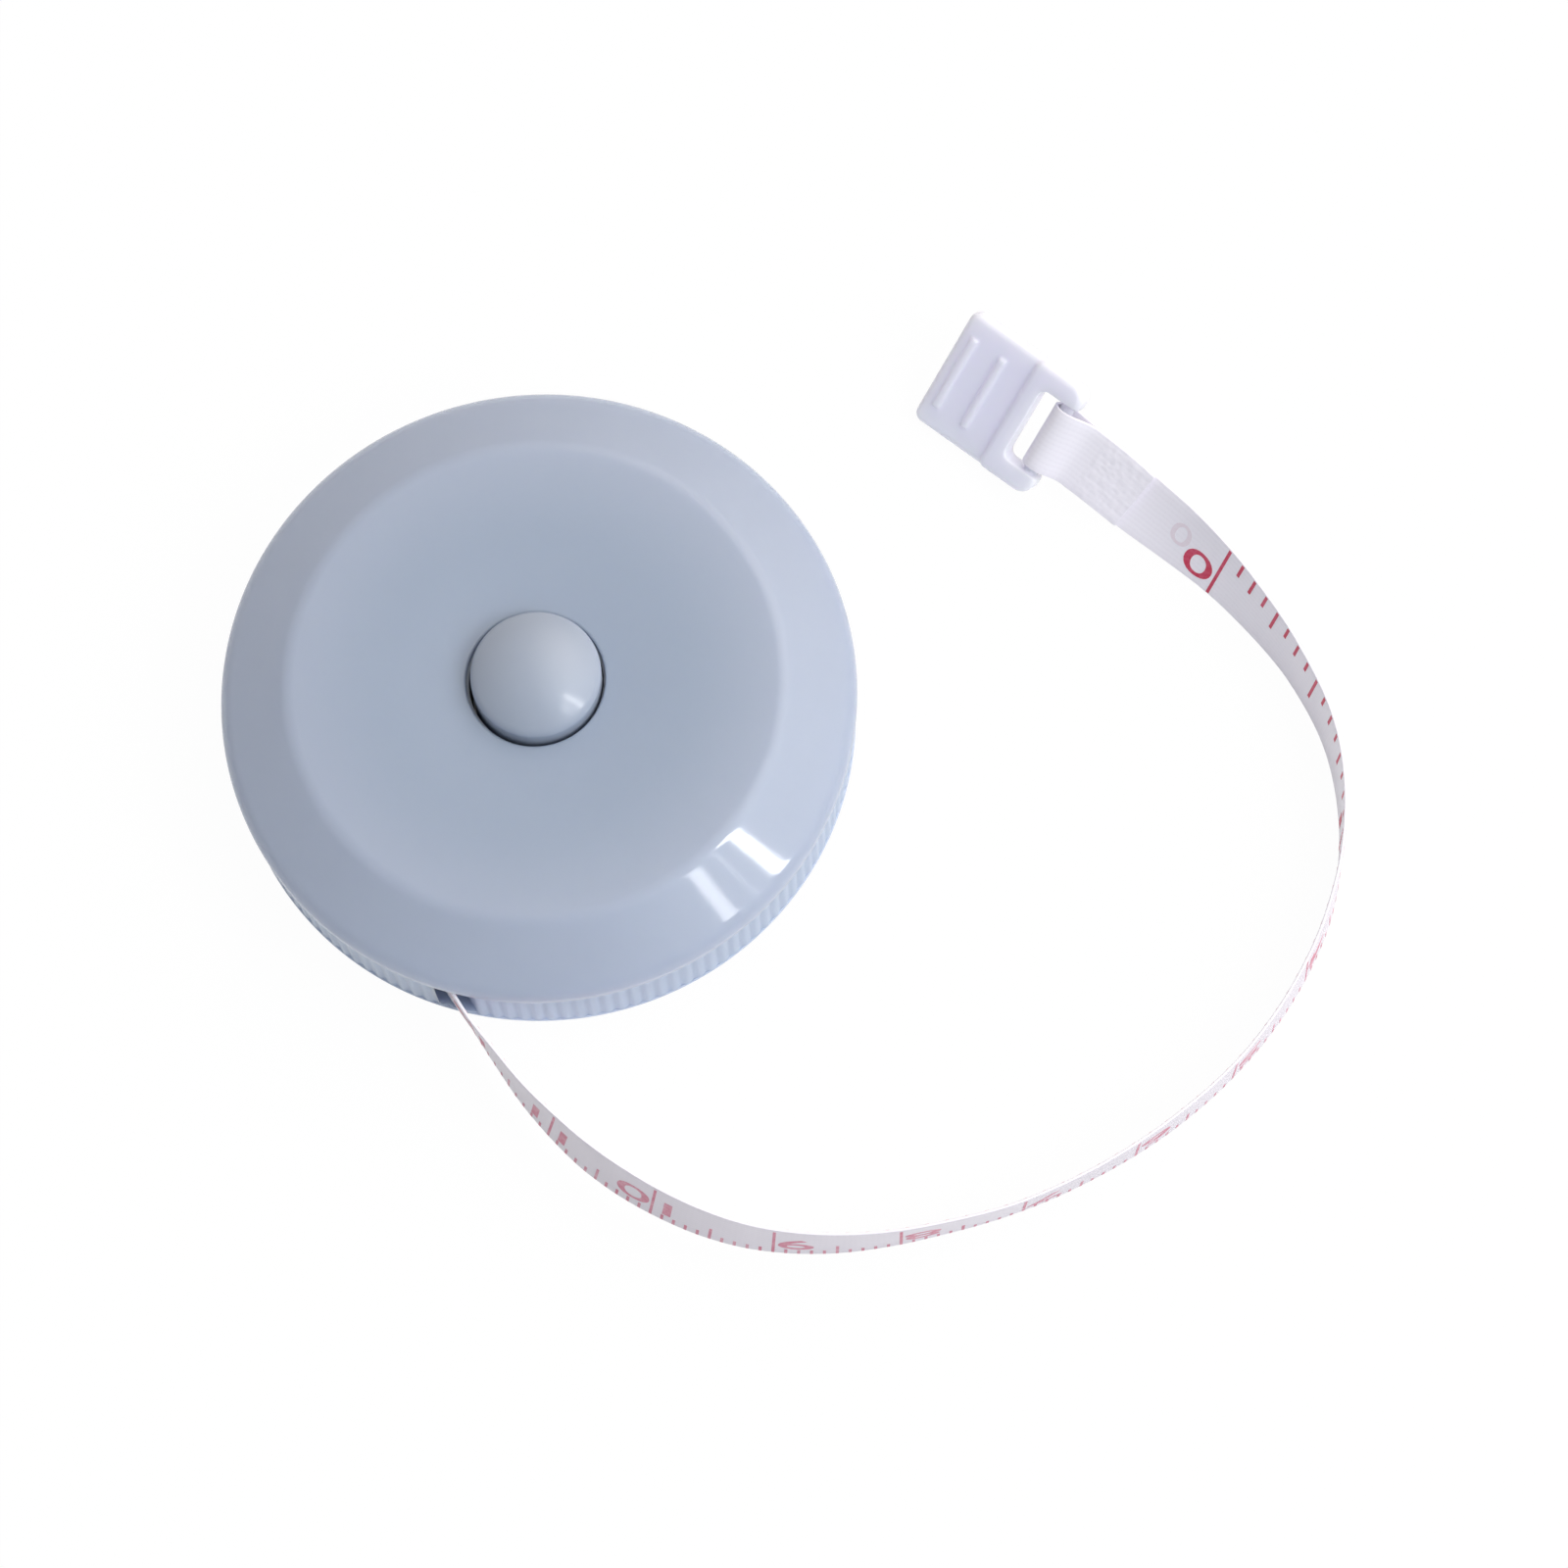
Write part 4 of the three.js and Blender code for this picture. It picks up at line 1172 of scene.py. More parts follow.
@dataclass
class TapePath:
    """A centre line with the direction of the tape's width at each point, measured along its length."""

    places: list[Vector]
    widths: list[Vector]
    lengths: list[float] = field(init=False)

    def __post_init__(self) -> None:
        """Measures the line."""
        self.lengths = [0.0]
        for before, after in zip(self.places, self.places[1:]):
            self.lengths.append(self.lengths[-1] + (after - before).length)

    def total(self) -> float:
        """Length of the whole line."""
        return self.lengths[-1]

    def travel(self, index: int) -> Vector:
        """Direction of the line at one of its points."""
        before, after = max(index - 1, 0), min(index + 1, len(self.places) - 1)
        return (self.places[after] - self.places[before]).normalized()

    def at(self, length: float) -> tuple[Vector, Vector, Vector]:
        """Frame of the tape at a length along the line.

        Args:
            length: how far along, in millimetres.

        Returns:
            The place, the direction of the tape's width, and the direction out of its centimetre face.
        """
        leg = min(max(bisect_right(self.lengths, length) - 1, 0), len(self.places) - 2)
        share = (length - self.lengths[leg]) / (self.lengths[leg + 1] - self.lengths[leg])
        place = self.places[leg].lerp(self.places[leg + 1], share)
        travel = self.travel(leg).lerp(self.travel(leg + 1), share).normalized()
        width = self.widths[leg].lerp(self.widths[leg + 1], share)
        width = (width - travel * width.dot(travel)).normalized()
        return place, width, travel.cross(width)

    def lay(self, piece: Piece) -> None:
        """Lays a flat piece along the line.

        Args:
            piece: the piece, modelled as (length, width, thickness).
        """
        for vert in piece.data.vertices:
            length, across, out = vert.co
            place, width, face = self.at(length)
            vert.co = place + width * across + face * out
        piece.data.update()


@dataclass
class TapeRoute:
    """The way of the free tape over the table, round the tab's bar and back along itself.

    A row of the route gives x and y from the mouth, the height of the lower edge, and how many degrees
    the upper edge leans inwards.
    """

    stack: CaseStack
    tab: TabPlace
    width: float = 5.8
    pitch: float = 0.4
    faces: tuple[float, float] = (-0.05, 0.2)
    wound_bottom: float = 2.45
    mouth_radius: float = 24.342
    join_gap: float = 0.3
    loop_radius: float = 0.9
    bond_lift: float = 0.14
    tail: float = 5.8
    weld_length: float = 4.9
    weld_overrun: float = 0.5
    hairline: float = 0.02
    samples_a_leg: int = 24
    bend_steps: int = 8
    nose_steps: int = 24
    tail_steps: int = 24
    rows: tuple[tuple[float, float, float, float], ...] = (
        (0, 0, 2.45, 0), (1.58, -2.89, 2.4, -2), (3.28, -5.74, 2.21, 1.5), (5.18, -8.74, 1.92, 5),
        (7.38, -11.54, 1.63, 8.6), (9.78, -14.14, 1.35, 11), (12.48, -16.44, 1.11, 11.6),
        (15.38, -18.44, 0.9, 10.6), (18.48, -20.14, 0.69, 9.3), (21.78, -21.44, 0.47, 7.2),
        (25.18, -22.24, 0.31, 5), (28.78, -22.64, 0.18, 2.6), (32.28, -22.64, 0.1, 0),
        (35.78, -22.34, 0.08, -2), (42.78, -21.14, 0.08, -4.4), (49.48, -18.84, 0.08, -3.4),
        (55.88, -15.54, 0.08, -1.4), (61.68, -11.24, 0.08, -0.8), (66.58, -5.84, 0.08, 2),
        (70.28, 0.56, 0.08, 4), (72.18, 7.56, 0.08, 1), (72.08, 14.86, 0.08, -4.4),
        (69.78, 21.66, 0.11, -10), (66.18, 27.86, 0.18, -21.5), (64.03, 30.81, 0.21, -28.7),
        (61.68, 33.56, 0.31, -38), (59.08, 36.16, 0.75, -45), (56.83, 38.36, 1.45, -49),
        (54.49, 40.54, 1.95, -50))

    def lead_end(self) -> Vector:
        """Where the run inside the case ends, at the height of the tape's middle."""
        end = self.stack.along_lead(self.mouth_radius)
        return end + UP * (self.wound_bottom + self.width / 2)

    def mouth(self) -> Vector:
        """Where the free tape starts."""
        return self.lead_end() + self.stack.lead_way() * self.join_gap

    @staticmethod
    def through(points: Sequence[Vector], leg: int, share: float) -> Vector:
        """A point of the centripetal curve through a row of points.

        Args:
            points: the row.
            leg: which leg of the row.
            share: how far along that leg, from 0 to 1.

        Returns:
            The point.
        """
        here, there = points[leg], points[leg + 1]
        before = points[leg - 1] if leg > 0 else 2 * here - there
        after = points[leg + 2] if leg + 2 < len(points) else 2 * there - here
        legs = ((before, here), (here, there), (there, after))
        d0, d1, d2 = (math.sqrt((b - a).length) for a, b in legs)
        leave = ((here - before) / d0 - (there - before) / (d0 + d1) + (there - here) / d1) * d1
        arrive = ((there - here) / d1 - (after - here) / (d1 + d2) + (after - there) / d2) * d1
        cubic = 2 * here - 2 * there + leave + arrive
        square = -3 * here + 3 * there - 2 * leave - arrive
        return ((cubic * share + square) * share + leave) * share + here

    def free_path(self) -> TapePath:
        """Follows the tape from the mouth to the tab's loop.

        Returns:
            The path, a smooth curve through the rows of the route.
        """
        mouth = self.mouth()
        leans = [math.radians(row[3]) for row in self.rows]
        points = [Vector((mouth.x + x, mouth.y + y, low + self.width / 2 * math.cos(lean)))
                  for (x, y, low, _), lean in zip(self.rows, leans)]
        places, tilts = [], []
        for leg in range(len(points) - 1):
            for i in range(self.samples_a_leg):
                share = i / self.samples_a_leg
                places.append(self.through(points, leg, share))
                tilts.append(leans[leg] + (leans[leg + 1] - leans[leg]) * share)
        places.append(points[-1])
        tilts.append(leans[-1])
        line = TapePath(places, [UP] * len(places))
        widths = []
        for i, tilt in enumerate(tilts):
            left = UP.cross(line.travel(i)).normalized()
            widths.append(UP * math.cos(tilt) + left * math.sin(tilt))
        return TapePath(places, widths)

    @staticmethod
    def bent_leg(start: Vector, leave: Vector, end: Vector, arrive: Vector, steps: int) -> list[Vector]:
        """Points of a smooth short bend between two places, without its ends.

        Args:
            start: first place.
            leave: direction in which it is left.
            end: last place.
            arrive: direction in which it is reached.
            steps: pieces of the bend.

        Returns:
            The inner points.
        """
        pull = (end - start).length / 3
        a, b = start + leave * pull, end - arrive * pull
        points = []
        for i in range(1, steps):
            t = i / steps
            s = 1 - t
            points.append(start * s ** 3 + a * 3 * t * s ** 2 + b * 3 * t ** 2 * s + end * t ** 3)
        return points

    def whole_path(self) -> TapePath:
        """Follows the free tape, its loop round the bar, and its tail bonded back on itself.

        Returns:
            The path, from the mouth to the end of the tail.
        """
        free = self.free_path()
        places, widths = list(free.places), list(free.widths)
        tab = self.tab
        end, end_width, end_face = free.at(free.total())
        travel = free.travel(len(free.places) - 1)
        lower, upper = tab.point(0.0, -self.loop_radius), tab.point(0.0, self.loop_radius)
        steps, nose, tail_steps = self.bend_steps, self.nose_steps, self.tail_steps
        for i, point in enumerate(self.bent_leg(end, travel, lower, tab.along, steps)):
            places.append(point)
            widths.append(end_width.lerp(tab.across, (i + 1) / steps).normalized())
        for i in range(nose + 1):
            turn = -math.pi / 2 + math.pi * i / nose
            places.append(tab.point(self.loop_radius * math.cos(turn),
                                    self.loop_radius * math.sin(turn)))
            widths.append(tab.across)
        landing = end - end_face * self.bond_lift
        for i, point in enumerate(self.bent_leg(upper, -tab.along, landing, -travel, steps)):
            places.append(point)
            widths.append(tab.across.lerp(end_width, (i + 1) / steps).normalized())
        for i in range(tail_steps + 1):
            place, width, face = free.at(free.total() - self.tail * i / tail_steps)
            places.append(place - face * self.bond_lift)
            widths.append(width)
        return TapePath(places, widths)

    def lead_path(self, wrap: float = 60.0, steps: int = 40) -> TapePath:
        """Path of the last wound tape and its straight run to the mouth.

        Args:
            wrap: degrees of the last turn that it shows.
            steps: pieces of that arc.

        Returns:
            The path, which ends where the free tape starts.
        """
        way = self.stack.lead_way()
        leaving = math.atan2(-way.x, way.y)
        middle = self.wound_bottom + self.width / 2
        radius = self.stack.lead_radius
        places = []
        for i in range(steps + 1):
            angle = leaving - math.radians(wrap) * (1 - i / steps)
            places.append(Vector((radius * math.cos(angle), radius * math.sin(angle), middle)))
        end = self.mouth() - way * self.hairline
        places += [places[-1].lerp(end, share) for share in (0.25, 0.5, 0.75, 1.0)]
        return TapePath(places, [UP] * len(places))

    def pack_path(self, inner: float = 12.85, outer: float = 18.392,
                  steps_a_turn: int = 72) -> TapePath:
        """Spiral of the tape that stays wound on the reel.

        Args:
            inner: radius of the drum that it lies on.
            outer: radius of the whole winding.
            steps_a_turn: pieces of each turn.

        Returns:
            The path, from the drum outwards.
        """
        turns = (outer - inner) / self.pitch - 1
        steps = round(turns * steps_a_turn)
        places = []
        for i in range(steps + 1):
            angle = math.tau * i / steps_a_turn
            radius = inner + self.pitch * (0.5 + i / steps_a_turn)
            places.append(Vector((radius * math.cos(angle), radius * math.sin(angle),
                                  self.wound_bottom + self.width / 2)))
        return TapePath(places, [UP] * len(places))


@dataclass
class Tape:
    """The cloth tape: its free run with the loop at the tab, its run in the case, its wound turns."""

    route: TapeRoute
    edge_round: float = 0.09
    step: float = 0.5
    lanes: int = 8
    wound_step: float = 1.2
    outer_until: float = 125.0
    most_cuts: int = 100
    line_steps: int = 160

    def flat_strip(self, name: str, length: float, step: float, lanes: int = 2) -> Piece:
        """A flat strip with rounded edges, cut across at even steps, with its UV map in millimetres.

        Args:
            name: the piece's name.
            length: its length.
            step: distance between the cuts.
            lanes: how many strips of faces lie side by side, so that a twisted one stays smooth.

        Returns:
            The strip, along X from 0 and with its width on Y.
        """
        half_width = self.route.width / 2
        under, over = self.route.faces
        piece = block(name, (0.0, -half_width, under), (length, half_width, over))
        with editing(piece):
            pick(piece, Element.EDGES, lambda edge: span(edge, Axis.X) > length / 2)
            bpy.ops.mesh.bevel(offset=self.edge_round, segments=3, affect="EDGES")
            # Subdivide makes only so many cuts at a time, so a long strip is first cut into equal lots
            lots = math.ceil(length / step / self.most_cuts)
            for parts in (lots, math.ceil(length / step / lots)):
                pick(piece, Element.EDGES, lambda edge: span(edge, Axis.X) > step / 2)
                bpy.ops.mesh.subdivide(number_cuts=max(parts - 1, 1))
            pick(piece, Element.EDGES, lambda edge: span(edge, Axis.Y) > half_width)
            bpy.ops.mesh.subdivide(number_cuts=lanes - 1)
        scale = piece.data.uv_layers.active or piece.data.uv_layers.new(name="tape_mm")
        for loop in piece.data.loops:
            place = piece.data.vertices[loop.vertex_index].co
            scale.data[loop.index].uv = (place.x, place.y)
        return piece

    def build(self, finish: Material, outer_finish: Material, wound_finish: Material) -> Piece:
        """Models and dresses the tape.

        Args:
            finish: cloth of the free run, which carries the weld.
            outer_finish: a darker copy of the cloth for its outer face, which is painted shade.
            wound_finish: a darker copy of the cloth for the tape inside the case, which is painted
                shade.

        Returns:
            The free run.
        """
        route = self.route
        whole = route.whole_path()
        tape = self.flat_strip("tape", whole.total(), self.step, self.lanes)
        outer_faces = [face.index for face in tape.data.polygons
                       if face.normal.z > UPWARD and face.center.x < self.outer_until]
        whole.lay(tape)
        settle(tape, finish)
        # The outer face gets the darker copy of the cloth: painted shade
        tape.data.materials.append(outer_finish)
        for index in outer_faces:
            tape.data.polygons[index].material_index = 1
        carry(tape, "case", "tape_cloth", "tape_free", "tape_fold")
        for name, path, body, node in (("tape_run", route.lead_path(), "case", "tape_lead"),
                                       ("tape_winding", route.pack_path(), "spool", "tape_pack")):
            strip = self.flat_strip(name, path.total(), self.wound_step)
            path.lay(strip)
            settle(strip, wound_finish)
            carry(strip, body, "tape_cloth", node)
        return tape

    def declare(self) -> None:
        free, steps = self.route.free_path(), self.line_steps
        line = [free.at(free.total() * i / steps)[0] for i in range(steps + 1)] + [self.route.tab.bar]
        length = free.total() + (self.route.tab.bar - line[-2]).length
        log.info("free tape %.1f mm from the mouth to the bar", length)


@dataclass(frozen=True)
class Numeral:
    """A printed numeral on the flat tape, drawn wider than its type by a stretch."""

    text: str
    length: float
    across: float
    height: float = 2.5
    stretch: float = 1.85


@dataclass
class ScalePrint(ABC):
    """Print on one face of the tape: rows of ticks and plain numerals, as thin films of ink."""

    name: str
    face: Face
    route: TapeRoute
    film: float = 0.016
    sunk: float = 0.03
    margin: float = 0.12
    cut_every: float = 0.4
    boldness: float = 0.004
    curve_steps: int = 6

    def film_heights(self) -> tuple[float, float]:
        """Works out where the ink lies above the tape's line, before the face's side is counted.

        Returns:
            Its lower and upper height.
        """
        under, over = self.route.faces
        surface = over if self.face is Face.CENTIMETRE else -under
        return surface - self.sunk, surface + self.film

    def edge(self) -> float:
        """How far from its middle the tape's face is flat and takes print."""
        return self.route.width / 2 - self.margin

    def ticks(self, first: float, pitch: float, count: int, reach: tuple[float, float],
              line: float) -> Piece:
        """A row of equal ticks, drawn once and repeated.

        Args:
            first: length along the tape of the first tick.
            pitch: distance to the next one, negative towards the case.
            count: how many.
            reach: where each starts and ends across the tape.
            line: the width of its line.

        Returns:
            The row on the flat tape.
        """
        low, high = sorted(height * self.face.value for height in self.film_heights())
        row = block("ticks", (first - line / 2, reach[0], low), (first + line / 2, reach[1], high))
        modify(row, "ARRAY", use_relative_offset=False, use_constant_offset=True,
               constant_offset_displace=(pitch, 0.0, 0.0), count=count)
        return row

    def numeral(self, sign: Numeral) -> Piece:
        """A numeral of ink in its place on the flat tape, cut across so that it bends with the tape.

        Args:
            sign: what it says, where and how large.

        Returns:
            The numeral.
        """
        deselect_all()
        bpy.ops.object.text_add()
        text = bpy.context.object
        text.data.body = sign.text
        text.data.align_x = "CENTER"
        text.data.offset = self.boldness
        text.data.resolution_u = self.curve_steps
        bpy.ops.object.convert(target="MESH")
        corners = [vert.co for vert in text.data.vertices]
        low = Vector((min(c.x for c in corners), min(c.y for c in corners), 0.0))
        high = Vector((max(c.x for c in corners), max(c.y for c in corners), 0.0))
        tall = sign.height / (high.y - low.y)
        width = (high.x - low.x) * tall * sign.stretch
        under, over = self.film_heights()
        with editing(text):
            bpy.ops.transform.translate(value=-(low + high) / 2)
            scale_about_origin(tall * sign.stretch, tall)
            ways = ((width, Vector((1.0, 0.0, 0.0))), (sign.height, Vector((0.0, 1.0, 0.0))))
            for size, way in ways:
                cuts = int(size / self.cut_every)
                for i in range(1, cuts):
                    bpy.ops.mesh.select_all(action="SELECT")
                    bpy.ops.mesh.bisect(plane_co=way * size * (i / cuts - 0.5), plane_no=way)
            merge_doubles()
            bpy.ops.transform.translate(value=UP * under)
            bpy.ops.mesh.extrude_region_move(TRANSFORM_OT_translate={"value": UP * (over - under)})
            tidy_mesh()
        axis = "Y" if self.face is Face.INCH else "Z"
        text.matrix_world = (Matrix.Translation((sign.length, sign.across, 0.0))
                             @ Matrix.Rotation(math.pi, 4, axis))
        bpy.ops.object.transform_apply()
        return text

    @abstractmethod
    def draw(self) -> list[Piece]:
        """Draws the marks on the flat tape."""

    def build(self, path: TapePath, ink: Material) -> Piece:
        """Draws the marks, joins them, lays them on the tape and dresses them.

        Args:
            path: the tape's path.
            ink: their material.

        Returns:
            The finished print.
        """
        marks = merge_pieces(self.draw())
        marks.name = marks.data.name = self.name
        path.lay(marks)
        settle(marks, ink, smooth_below=20.0)
        carry(marks, "case", "tape_cloth")
        return marks


@dataclass
class InchScale(ScalePrint):
    """Sixteenths of an inch along the inner face, counted from the tab."""

    zero: float = 120.4
    inch: float = 25.4
    line: float = 0.3
    reaches: tuple[float, ...] = (3.6, 2.5, 1.75, 1.45)
    last_from_mouth: float = 1.0
    numeral_after: float = 1.9
    numeral_across: float = -0.97

    def draw(self) -> list[Piece]:
        """Draws a line at every inch, the four rows of ticks between, and the numerals.

        Returns:
            The marks on the flat tape.
        """
        edge = self.edge()
        inches = int(self.zero // self.inch)
        flat = [self.ticks(self.zero, -self.inch, inches + 1, (-edge, edge), self.line)]
        for level, reach in enumerate(self.reaches):
            pitch = self.inch / 2 ** level
            first = self.zero - pitch / 2
            count = int((first - self.last_from_mouth) // pitch) + 1
            flat.append(self.ticks(first, -pitch, count, (edge - reach, edge), self.line))
        for i in range(inches + 1):
            place = self.zero - i * self.inch + self.numeral_after
            flat.append(self.numeral(Numeral(str(i), place, self.numeral_across)))
        return flat


@dataclass
class ShowThrough(ScalePrint):
    """The first numeral of the centimetre scale, as it shows faintly through the thin tape."""

    length: float = 124.8
    across: float = 0.25
    height: float = 2.1
    stretch: float = 1.5
    film: float = 0.008

    def draw(self) -> list[Piece]:
        """Draws the numeral."""
        return [self.numeral(Numeral("0", self.length, self.across, self.height, self.stretch))]


@dataclass
class CentimetreScale(ScalePrint):
    """Millimetres along the outer face, counted from the tab."""

    zero: float = 123.7
    centimetre: float = 10.0
    line: float = 0.24
    short: float = 1.0
    middle: float = 2.3
    long: float = 5.3
    numeral_after: float = 1.75
    pair_after: float = 1.3
    numeral_across: float = -0.3

    def draw(self) -> list[Piece]:
        """Draws a line at every centimetre, the ticks of the millimetres between, and the numerals.

        Returns:
            The marks on the flat tape.
        """
        edge = -self.edge()
        whole, half = self.centimetre, self.centimetre / 2
        tens = int(self.zero // whole)
        flat = [self.ticks(self.zero, -whole, tens + 1, (edge, edge + self.long), self.line)]
        flat.append(self.ticks(self.zero - half, -whole, tens, (edge, edge + self.middle), self.line))
        for i in (1, 2, 3, 4):
            reach = (edge, edge + self.short)
            flat.append(self.ticks(self.zero - i, -half, 2 * tens, reach, self.line))
        for i in range(tens + 1):
            mark = self.zero - whole * i
            # The two digits of a larger number stand on both sides of their line
            shifts = (self.numeral_after,) if i < 10 else (self.pair_after, -self.numeral_after)
            for digit, shift in zip(str(i), shifts):
                flat.append(self.numeral(Numeral(digit, mark + shift, self.numeral_across)))
        return flat


@dataclass
class InnerWorks:
    """Finishes of the CAD solids inside the case, whose shapes stay as they are."""

    finishes: dict[str, Material]
    spring: str = "button_spring"
    press: str = "button_press"

    def let_spring_give(self) -> None:
        """Gives the button's spring a mesh of its own."""
        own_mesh(frame["nodes"][self.spring])

    def dress(self) -> None:
        """Gives each node its finish."""
        for name, finish in self.finishes.items():
            mesh = frame["nodes"][name].data
            mesh.materials.clear()
            mesh.materials.append(finish)
            log.info("%s keeps its CAD shape in %s", name, finish.name)


@dataclass(frozen=True)
class Lamp:
    """A soft box that shines at the case from a direction."""

    name: str
    way: tuple[float, float, float]
    distance: float
    size: tuple[float, float]
    radiance: float

    def hang(self) -> None:
        """Adds the lamp to the scene."""
        deselect_all()
        way = Vector(self.way).normalized()
        bpy.ops.object.light_add(type="AREA", location=way * self.distance)
        lamp = newest(self.name)
        lamp.rotation_euler = way.to_track_quat("Z", "Y").to_euler()
        lamp.data.shape = "RECTANGLE"
        lamp.data.size, lamp.data.size_y = self.size
        lamp.data.energy = math.pi * self.size[0] * self.size[1] * self.radiance


@dataclass
class Studio:
    """White table, soft light mainly from the right, and the camera above the front edge."""

    camera_place: tuple[float, float, float] = (18.89, -120.08, 381.62)
    elevation: float = 73.47
    roll: float = -5.12
    lens: float = 112.42
    sensor: float = 36.0
    nearest_seen: float = 0.01
    floor_size: float = 6.0
    floor_share: float = 0.97
    floor_tone: float = 0.95
    room_level: float = 0.363
    window_level: float = 2.494
    window_way: tuple[float, float, float] = (0.929, 0.203, 0.308)
    window_spread: tuple[float, float] = (83.9, 28.6)
    window_rise: float = 0.95
    near_light: tuple[float, float, float, float] = (0.88, 1.0, 1.12, 1.0)
    far_light: tuple[float, float, float, float] = (1.12, 1.0, 0.88, 1.0)
    lamps: tuple[Lamp, ...] = (
        Lamp("strip_light", (0.626, -0.343, 0.700), 0.6, (0.032, 0.30), 18.0),
        Lamp("thin_strip", (0.556, -0.416, 0.720), 0.6, (0.004, 0.26), 6.0),
        Lamp("side_strip", (0.479, -0.484, 0.732), 0.6, (0.032, 0.17), 7.8),
    )

    def stand_camera(self) -> None:
        """Adds the camera and makes it the scene's."""
        tilt, roll = math.radians(self.elevation), math.radians(self.roll)
        forward = Vector((0.0, math.cos(tilt), -math.sin(tilt)))
        side, top = Vector((1.0, 0.0, 0.0)), Vector((0.0, math.sin(tilt), math.cos(tilt)))
        right = side * math.cos(roll) + top * math.sin(roll)
        up = top * math.cos(roll) - side * math.sin(roll)
        turn = Matrix((right, up, -forward)).transposed().to_4x4()
        deselect_all()
        bpy.ops.object.camera_add()
        camera = bpy.context.object
        camera.matrix_world = Matrix.Translation(Vector(self.camera_place) * MM) @ turn
        camera.data.lens = self.lens
        camera.data.sensor_width = self.sensor
        camera.data.clip_start = self.nearest_seen
        bpy.context.scene.camera = camera

    def lay_floor(self) -> None:
        """Adds the table top: white to the eye, with part of the object's shadow kept."""
        deselect_all()
        bpy.ops.mesh.primitive_plane_add(size=self.floor_size)
        floor = newest("table_top")
        material, tree = new_finish("table_white")
        path = add_node(tree, "ShaderNodeLightPath")
        seen = add_node(tree, "ShaderNodeMath", {
            0: path.outputs["Is Camera Ray"], 1: path.outputs["Is Glossy Ray"]}, operation="MAXIMUM")
        shown = add_node(tree, "ShaderNodeMath", {
            0: seen.outputs["Value"], 1: path.outputs["Is Transmission Ray"]}, operation="MAXIMUM")
        share = add_node(tree, "ShaderNodeMath", {
            0: shown.outputs["Value"], 1: self.floor_share}, operation="MULTIPLY")
        matt = add_node(tree, "ShaderNodeBsdfDiffuse", {"Color": (*[self.floor_tone] * 3, 1.0)})
        glow = add_node(tree, "ShaderNodeEmission", {"Color": WHITE, "Strength": 1.0})
        both = add_node(tree, "ShaderNodeMixShader", {
            0: share.outputs["Value"], 1: matt.outputs["BSDF"], 2: glow.outputs["Emission"]})
        add_node(tree, "ShaderNodeOutputMaterial", {"Surface": both.outputs["Shader"]})
        floor.data.materials.append(material)

    def light(self) -> None:
        """Lights the room by its wide window, keeps it white to the camera, and hangs the lamps."""
        world = bpy.data.worlds.new("room")
        tree = empty_tree(world)
        way = add_node(tree, "ShaderNodeTexCoord").outputs["Generated"]
        facing = add_node(tree, "ShaderNodeVectorMath", {0: way, 1: self.window_way},
                          operation="DOT_PRODUCT")
        edge, middle = (math.cos(math.radians(angle)) for angle in self.window_spread)
        spread = add_node(tree, "ShaderNodeMapRange", {
            "Value": facing.outputs["Value"], "From Min": edge, "From Max": middle},
            interpolation_type="SMOOTHSTEP")
        parts = add_node(tree, "ShaderNodeSeparateXYZ", {"Vector": way})
        rise = add_node(tree, "ShaderNodeMapRange", {
            "Value": parts.outputs["Z"], "From Max": self.window_rise, "To Max": self.window_level},
            interpolation_type="SMOOTHSTEP")
        level = add_node(tree, "ShaderNodeMath", {
            0: spread.outputs["Result"], 1: rise.outputs["Result"], 2: self.room_level},
            operation="MULTIPLY_ADD")
        depth = add_node(tree, "ShaderNodeMapRange", {"Value": parts.outputs["Y"], "From Min": -1.0})
        hue = add_node(tree, "ShaderNodeMix", {
            SHARE: depth.outputs["Result"], FROM: self.near_light, TO: self.far_light},
            data_type="RGBA")
        room = add_node(tree, "ShaderNodeBackground", {
            "Color": hue.outputs[MIXED], "Strength": level.outputs["Value"]})
        white = add_node(tree, "ShaderNodeBackground", {"Color": WHITE, "Strength": 1.0})
        path = add_node(tree, "ShaderNodeLightPath")
        sky = add_node(tree, "ShaderNodeMixShader", {
            0: path.outputs["Is Camera Ray"], 1: room.outputs["Background"],
            2: white.outputs["Background"]})
        add_node(tree, "ShaderNodeOutputWorld", {"Surface": sky.outputs["Shader"]})
        bpy.context.scene.world = world
        for lamp in self.lamps:
            lamp.hang()

    def build(self) -> None:
        """Sets up the camera, the table, the light and the plain view of colours."""
        bpy.context.scene.view_settings.view_transform = "Standard"
        self.stand_camera()
        self.lay_floor()
        self.light()


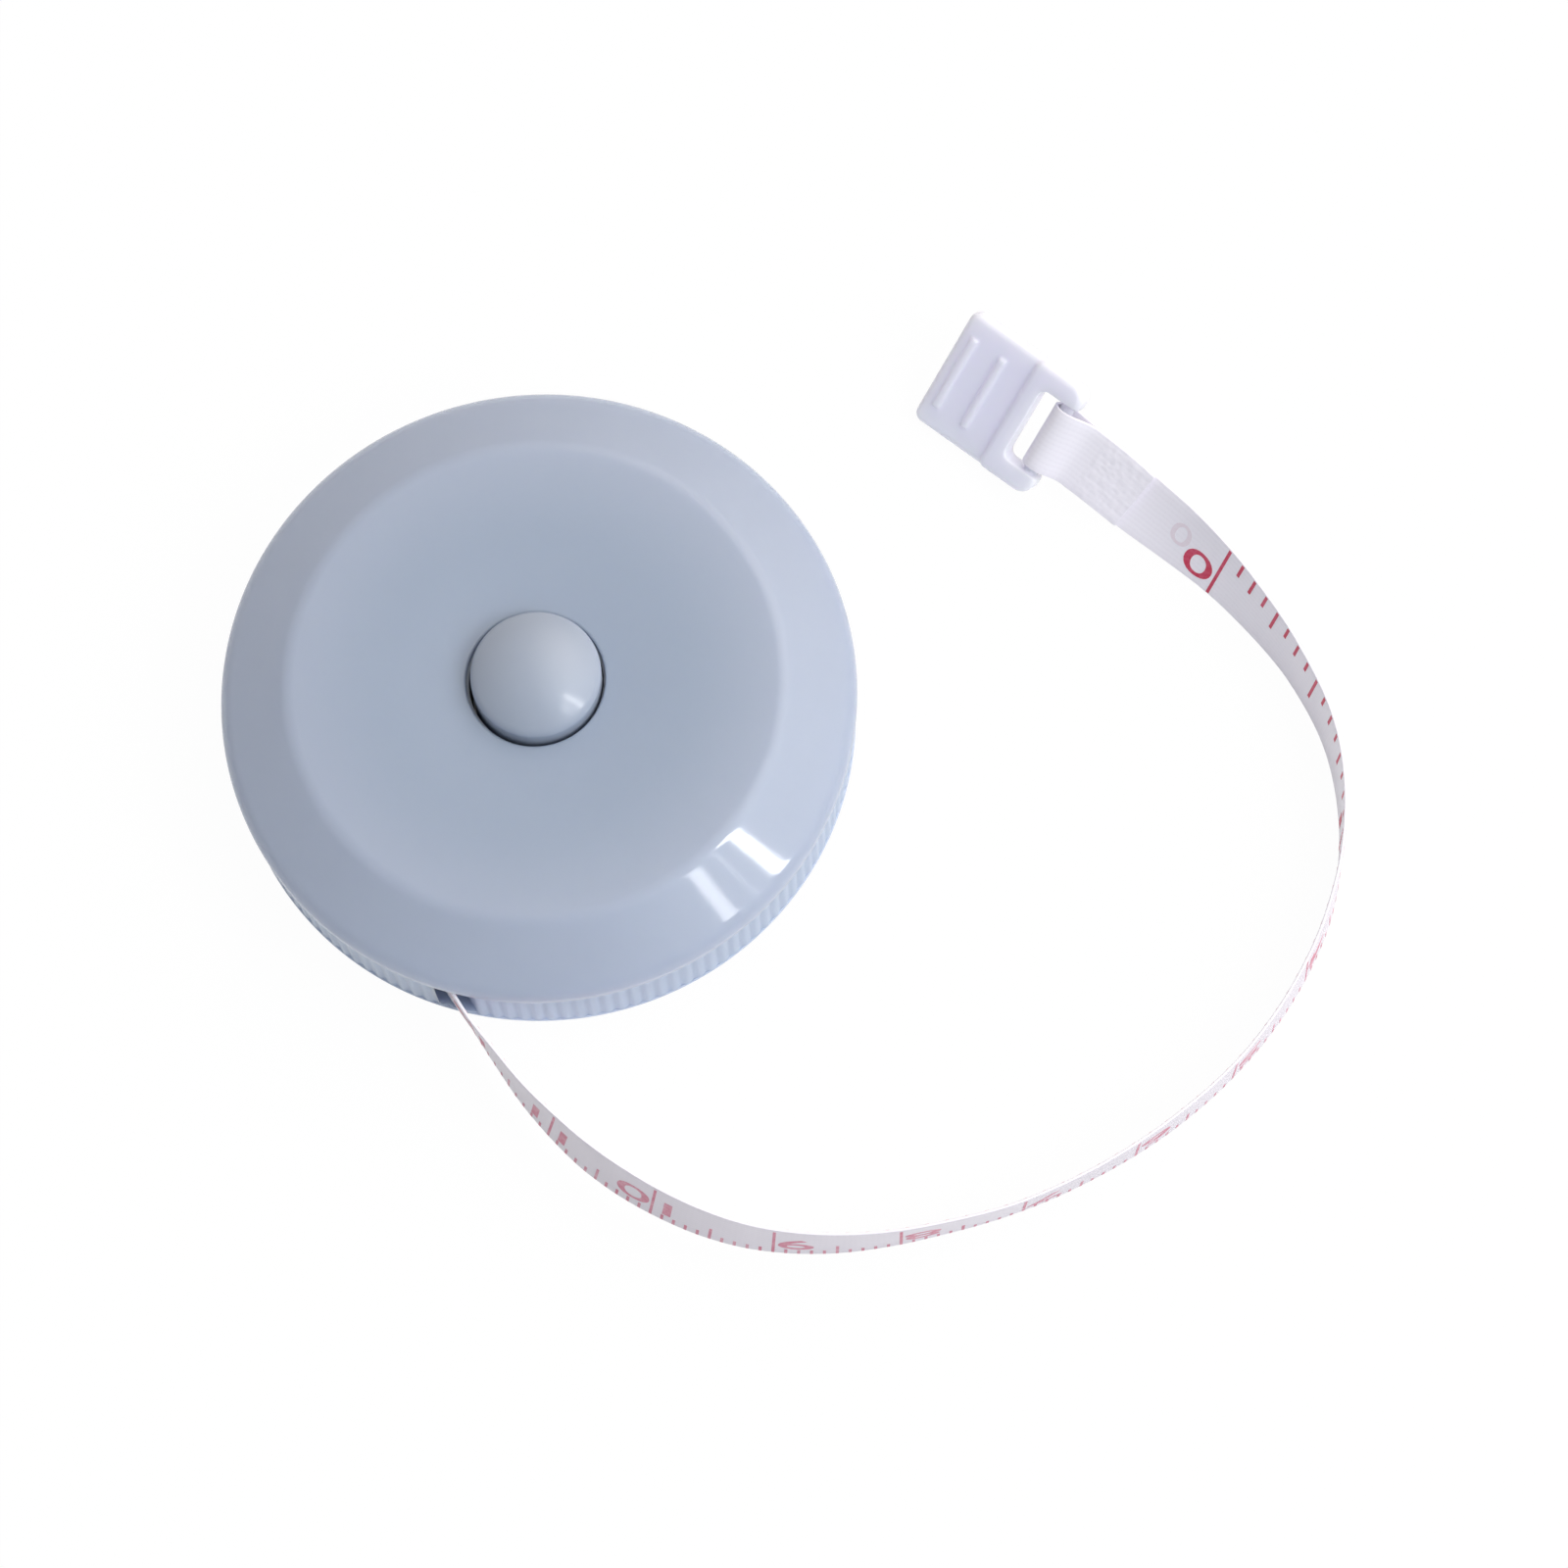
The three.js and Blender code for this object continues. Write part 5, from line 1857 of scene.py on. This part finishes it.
def main() -> None:
    """Builds the studio and the tape measure, piece by piece."""
    logging.basicConfig(level=logging.INFO, format="%(name)s: %(message)s")
    Studio().build()
    stack = CaseStack()
    tab_place = TabPlace.from_joint("tab_swing")
    route = TapeRoute(stack, tab_place)
    whole = route.whole_path()

    # Polished ABS: milky, with sharp reflections; its middle is darkened with painted shade for the
    # reel behind it
    shell = MouldedPlastic(
        "abs_blue_grey", "#ABB4C6", "#AFB8CA", 0.07, roughness_swing=0.015, glow=0.75,
        glow_reach_mm=2.2, core_colour="#A0ACBF").material()
    # ABS from an etched mould, for grip: a dull shine that shows the ribs by their shade
    grip_shell = MouldedPlastic(
        "abs_grip_grey", "#ACB9CE", "#B2BFD4", 0.4, roughness_swing=0.05, glow=0.6,
        glow_reach_mm=1.5, specular=0.2).material()
    # ABS with a satin skin: one soft highlight on the dome
    button_shell = MouldedPlastic(
        "abs_button_grey", "#A4ADBC", "#A8B1C1", 0.2, glow=0.6, glow_reach_mm=1.5).material()
    # Nylon as moulded: milky white, with edges that the light passes into
    tab_shell = MouldedPlastic(
        "nylon_white", "#E7E7F7", "#E9E9F8", 0.26, glow=0.85, glow_reach_mm=2.0).material()
    # ABS in its natural colour: ivory, matt and finely grained
    reel_shell = MouldedPlastic(
        "abs_natural", "#E3E3DF", "#DAD9D3", 0.45, grain_rise_mm=0.002).material()
    # Coated cloth: almost white inside, with darker copies, which are painted shade, on the outer face
    # and where it is wound in the case
    shaded_outer_cloth = CoatedCloth("vinyl_cloth_outer_painted_shade", "#E4DEE6", "#DDD6DE", "#C0B8C3").material()
    cloth = CoatedCloth("vinyl_cloth", "#FBF8FF", "#FAF5FE", "#D8D1DF",
                        weld_from=whole.total() - route.weld_length,
                        weld_to=whole.total() + route.weld_overrun).material()
    # The tape inside the case gets a darker copy of the cloth: painted shade of the case
    shaded_wound_cloth = CoatedCloth("vinyl_cloth_wound_painted_shade", "#E2E0EA", "#DCD9E3", "#CFCBD6").material()
    # Red ink: deep on the inner face, faint where it shows through, and worn pale on the outer face
    red = TapeInk("ink_crimson", "#CF264C", "#D85C7A").material()
    faint_red = TapeInk("ink_showing_through", "#EFE2EC", "#F2E9F1").material()
    pale_red = TapeInk("ink_rose", "#CC7088", "#E0B0BE").material()

    Lid(stack).build(shell)
    Base(stack).build(grip_shell)
    Button().build(button_shell)
    tab = PullTab(tab_place).build(tab_shell)
    tape_maker = Tape(route)
    tape = tape_maker.build(cloth, shaded_outer_cloth, shaded_wound_cloth)
    inches = InchScale("inch_print", Face.INCH, route).build(whole, red)
    centimetres = CentimetreScale("centimetre_print", Face.CENTIMETRE, route).build(whole, pale_red)
    ghost = ShowThrough("numeral_showing_through", Face.INCH, route).build(whole, faint_red)
    tape_maker.declare()
    # The mainspring's strip is blued dark by hardening, and the wire of the button's spring is bright
    works = InnerWorks({
        "reel": reel_shell,
        "reel_cover": reel_shell,
        "mainspring": SpringSteel("steel_blued_strip", "#6A7078", "#565D68", 0.34).material(),
        "button_spring": SpringSteel("steel_drawn_wire", "#B9BCC0", "#A3A6AB", 0.28).material(),
        "brake_ring": BrakeRubber("rubber_nitrile", "#2B2B2D", "#434346").material(),
    })
    works.dress()
    works.let_spring_give()


if __name__ == "__main__":
    main()
